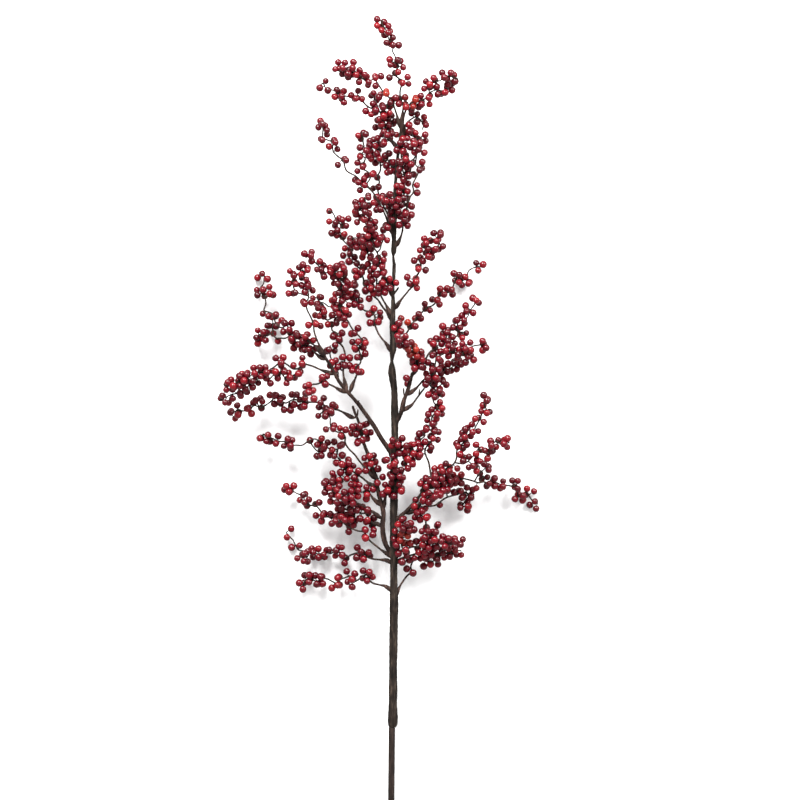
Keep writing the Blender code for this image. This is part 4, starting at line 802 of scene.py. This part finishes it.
# ---- the object ----
# Bark: colours from the folds to the high spots, and roughness.
STEM_TAPE = (0.006, 0.0045, 0.0035), (0.019, 0.0135, 0.0105), (0.068, 0.052, 0.041), 0.8
TWIG_TAPE = (0.009, 0.005, 0.004), (0.028, 0.015, 0.012), (0.090, 0.054, 0.044), 0.75
ROD_FINISH = (0.010, 0.007, 0.006), (0.021, 0.014, 0.012), (0.040, 0.027, 0.023), 0.6

# Berry colours; orange is for the few paler clusters, and at (15, 357) it is a painted highlight: an orange
# glint painted into the berries' colour.
DEEP, RED, BRIGHT = (0.048, 0.0004, 0.0034), (0.112, 0.0012, 0.0068), (0.215, 0.0045, 0.0090)
SHADES = (2.0, 2.4)  # spread of the shades: most are near RED, few at the ends
ORANGE = (0.290, 0.024, 0.007)
# Spots of orange: real orange-red clusters, and at (15, 357) a painted highlight.
ORANGE_AND_HIGHLIGHT_SPOTS = ((24, 571), (17, 606), (-5, 866), (22, 854), (15, 357))  # across, along
ORANGE_REACH = 10.0
ORANGE_SHARE = 0.9  # share of orange in the middle of a spot

# Differences between berries.
BERRY_SEED = 5
SIZES = (0.88, 1.05)  # in planned berry radii
SQUASH = (0.92, 1.04)  # length over width
LOBES = 0.02  # depth of the three lobes round it
STRAY = 0.3  # shift from the planned centre
TILT = 0.35  # lean of the eye away from the twig's normal

# Berries added to the planned ones, where there is room.
FILL_SPACE = 7.4  # least distance between centres
FILL_CELL = 10.0
FILL_TRIES = 40
FILL_SPREAD = 3.2  # greatest distance along the wire from the station
FILL_START = 3.0  # least distance from the foot
FILL_GROUND = 0.95  # least height of a centre, in berry radii
FILL_MOST = (0, 0, 1, 1)  # most berries added at a station planned with 0, 1, 2 or 3
FILL_STALK = (0.2, 2.8)  # shortest and longest space between the wire and a berry
FULL_STALK = 1.5  # longest space in the fullest places, for each berry that may be added
FULL_SPOTS = (  # those places: across, along, reach, most berries added at a station
    (-12, 820, 17, 5), (-20, 800, 9, 3), (-8, 800, 8, 3), (0, 790, 8, 3), (-30, 735, 10, 3), (-8, 742, 9, 3),
    (6, 729, 12, 3), (-62, 713, 8, 4), (-38, 700, 12, 3), (-30, 695, 10, 3), (-35, 668, 10, 3),
    (-12, 662, 12, 3), (-8, 645, 11, 3), (-60, 643, 13, 4), (-107, 655, 8, 3), (-62, 608, 8, 3),
    (-62, 557, 10, 3), (-34, 479, 13, 4), (-40, 468, 10, 4), (-25, 449, 12, 3), (2, 449, 12, 3),
    (22, 452, 10, 4), (0, 430, 9, 3), (4, 408, 9, 3), (-71, 424, 9, 3), (-60, 436, 8, 3), (-45, 436, 8, 3),
    (-39, 419, 8, 3), (-62, 404, 11, 3), (-48, 399, 10, 3), (-41, 386, 9, 3), (-25, 411, 8, 3),
    (52, 418, 13, 4), (15, 365, 8, 4), (12, 350, 9, 3), (42, 345, 12, 3), (45, 542, 10, 3))


def berry_tint(centre, rng):
    """Deep to bright red, orange-red near the few paler clusters, and a painted orange highlight near (15,
    357).
    """
    share = rng.betavariate(*SHADES)
    a, b, t = (DEEP, RED, share * 2) if share < 0.5 else (RED, BRIGHT, share * 2 - 1)
    near = min(math.hypot(centre.x - x, centre.y - y) for x, y in ORANGE_AND_HIGHLIGHT_SPOTS)
    colour = [p + (q - p) * t for p, q in zip(a, b)]
    # share of orange: real orange-red berries, and near (15, 357) a painted highlight
    warm = (1 - near / ORANGE_REACH) * ORANGE_SHARE if near < ORANGE_REACH else 0.0
    return tuple(p + (q - p) * warm for p, q in zip(colour, ORANGE)) + (1.0,)


def all_berries(runs, rng):
    """Planned berries, then added ones: (run, distance along it, centre, direction from the twig)."""
    grown = [(run, at, *run.berry_centre(at, angle, side, space))
             for run in every_run(runs) for at, angle, sides in run.whorls for side, space in sides]
    centres = Cells(FILL_CELL)
    for _, _, centre, _ in grown:
        centres.put(centre, centre)
    for run in every_run(runs):
        for at, count in run.marks:
            here = point_at(run.line, at)[0]
            full = [add for x, y, reach, add in FULL_SPOTS if math.hypot(here.x - x, here.y - y) < reach]
            most = max(full) if full else FILL_MOST[count]
            longest = FULL_STALK * most if full else FILL_STALK[1]
            added = 0
            for _ in range(FILL_TRIES if most else 0):
                d = min(max(at + rng.uniform(-FILL_SPREAD, FILL_SPREAD), FILL_START), run.length)
                p, u, v = run.frame(d)
                out = spoke(u, v, rng.uniform(0, 2 * math.pi))
                centre = p + out * (along_table(run.radius, d) + BERRY_R + rng.uniform(FILL_STALK[0], longest))
                crowded = any((other - centre).length < FILL_SPACE for other in centres.near(centre))
                if centre.z > BERRY_R * FILL_GROUND and not crowded:
                    centres.put(centre, centre)
                    grown.append((run, d, centre, out))
                    added += 1
                    if added == most:
                        break
    return grown


def jitter(size, rng):
    return Vector([rng.uniform(-size, size) for _ in range(3)])


OFFSET = plan_offset()
runs = lay_out()
grow_berries(runs)
stem_tape = bark_material("stem_tape", *STEM_TAPE)
twig_tape = bark_material("twig_tape", *TWIG_TAPE)
rod_finish = bark_material("rod_finish", *ROD_FINISH)
berry_red, berry_eye = berry_material(), eye_material()

rng = random.Random(BERRY_SEED)
grown = all_berries(runs, rng)
for name, parts in runs.items():
    main = parts[0]
    wood, berries = bmesh.new(), bmesh.new()
    if name in STEM:
        skin, bark = (rod_skin, rod_finish) if name == "stem_rod" else (stem_skin, stem_tape)
        tube(wood, main, STEM_SIDES, skin, overlap=JOINT, rounding=CUT_ROUND)
    elif name in BRANCHES:
        bark = twig_tape
        tube(wood, main, BRANCH_SIDES, branch_skin)
    else:
        bark = twig_tape
        for run in parts:
            tube(wood, run, TWIG_SIDES, twig_skin)
    for *ends, height, radius in STUBS.get(name, []):
        tube(wood, stub_run(name, main, ends, height, radius), TWIG_SIDES, branch_skin)
    tint_layer = berries.loops.layers.float_color.new("tint")
    for run, at, centre, out in grown:
        if run.node == name:
            centre = centre + jitter(STRAY, rng)
            stalk(wood, point_at(run.line, at)[0], centre)
            lean = (out + jitter(TILT, rng)).normalized()
            radius = BERRY_R * rng.uniform(*SIZES)
            fruit(berries, tint_layer, centre, lean, radius, berry_tint(centre, rng), rng)
    wood_piece = piece(name + "_wood", wood, [bark])
    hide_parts(name)
    if len(berries.verts):
        berry_piece = piece(name + "_berries", berries, [berry_red, berry_eye])
    else:
        berries.free()

# ---- floor, light and camera, in metres ----
FLOOR = 20  # half its side
PAPER, PAPER_IN_GLOSS = 0.95, 0.25  # the floor's grey, and the grey that glossy reflections find
SKY, SKY_IN_GLOSS = 1.06, 0.30  # the same for the strength of the sky
KEY = (-0.7, 2.6, 2.5), 1.4, 255  # place, size and power; both lights face the middle of the spray
FILL = (2.0, 1.6, 2.2), 1.0, 80
FRAME_WIDTH = 0.912  # width of the picture at the height of the spray
AIM = (8.5, 514.5)  # point of the plan in the middle of the picture
CAMERA_HEIGHT = 10.0
SPRAY_HEIGHT = 0.05
SENSOR = 36.0  # millimetres


def grey(value):
    return value, value, value, 1.0


def area_light(name, place, size, power):
    data = bpy.data.lights.new(name, "AREA")
    data.size, data.energy = size, power
    light = place_object(name, data)
    light.location = place
    light.rotation_euler = (-Vector(place)).to_track_quat("-Z", "Y").to_euler()


floor_mesh = bpy.data.meshes.new("floor")
floor_mesh.from_pydata([(-FLOOR, -FLOOR, 0), (FLOOR, -FLOOR, 0), (FLOOR, FLOOR, 0), (-FLOOR, FLOOR, 0)], [],
                       [(0, 1, 2, 3)])
floor = place_object("floor", floor_mesh)
paper = new_material("floor_paint")
glossy = paper.add("LightPath", "Is Glossy Ray")
colour = paper.mix("MIX", glossy, grey(PAPER), grey(PAPER_IN_GLOSS))
paper.fill(paper.shader, Base_Color=colour, Roughness=0.9)
floor_mesh.materials.append(paper.owner)

area_light("key_light", *KEY)
area_light("fill_light", *FILL)
sky = Nodes(bpy.data.worlds.new("studio"), "Background")
glossy = sky.add("LightPath", "Is Glossy Ray")
strength = sky.add("MapRange", Value=glossy, To_Min=SKY, To_Max=SKY_IN_GLOSS)
sky.fill(sky.shader, Color=grey(1), Strength=strength)
bpy.context.scene.world = sky.owner

aim = (Vector((*AIM, 0)) + OFFSET) * MM
camera_data = bpy.data.cameras.new("camera")
camera_data.sensor_width = SENSOR
camera_data.lens = SENSOR * (CAMERA_HEIGHT - SPRAY_HEIGHT) / FRAME_WIDTH
camera_data.clip_end = 100.0
camera = place_object("camera", camera_data)
camera.location = (aim.x, aim.y, CAMERA_HEIGHT)  # looks straight down
bpy.context.scene.camera = camera
bpy.context.scene.view_settings.view_transform = "Standard"
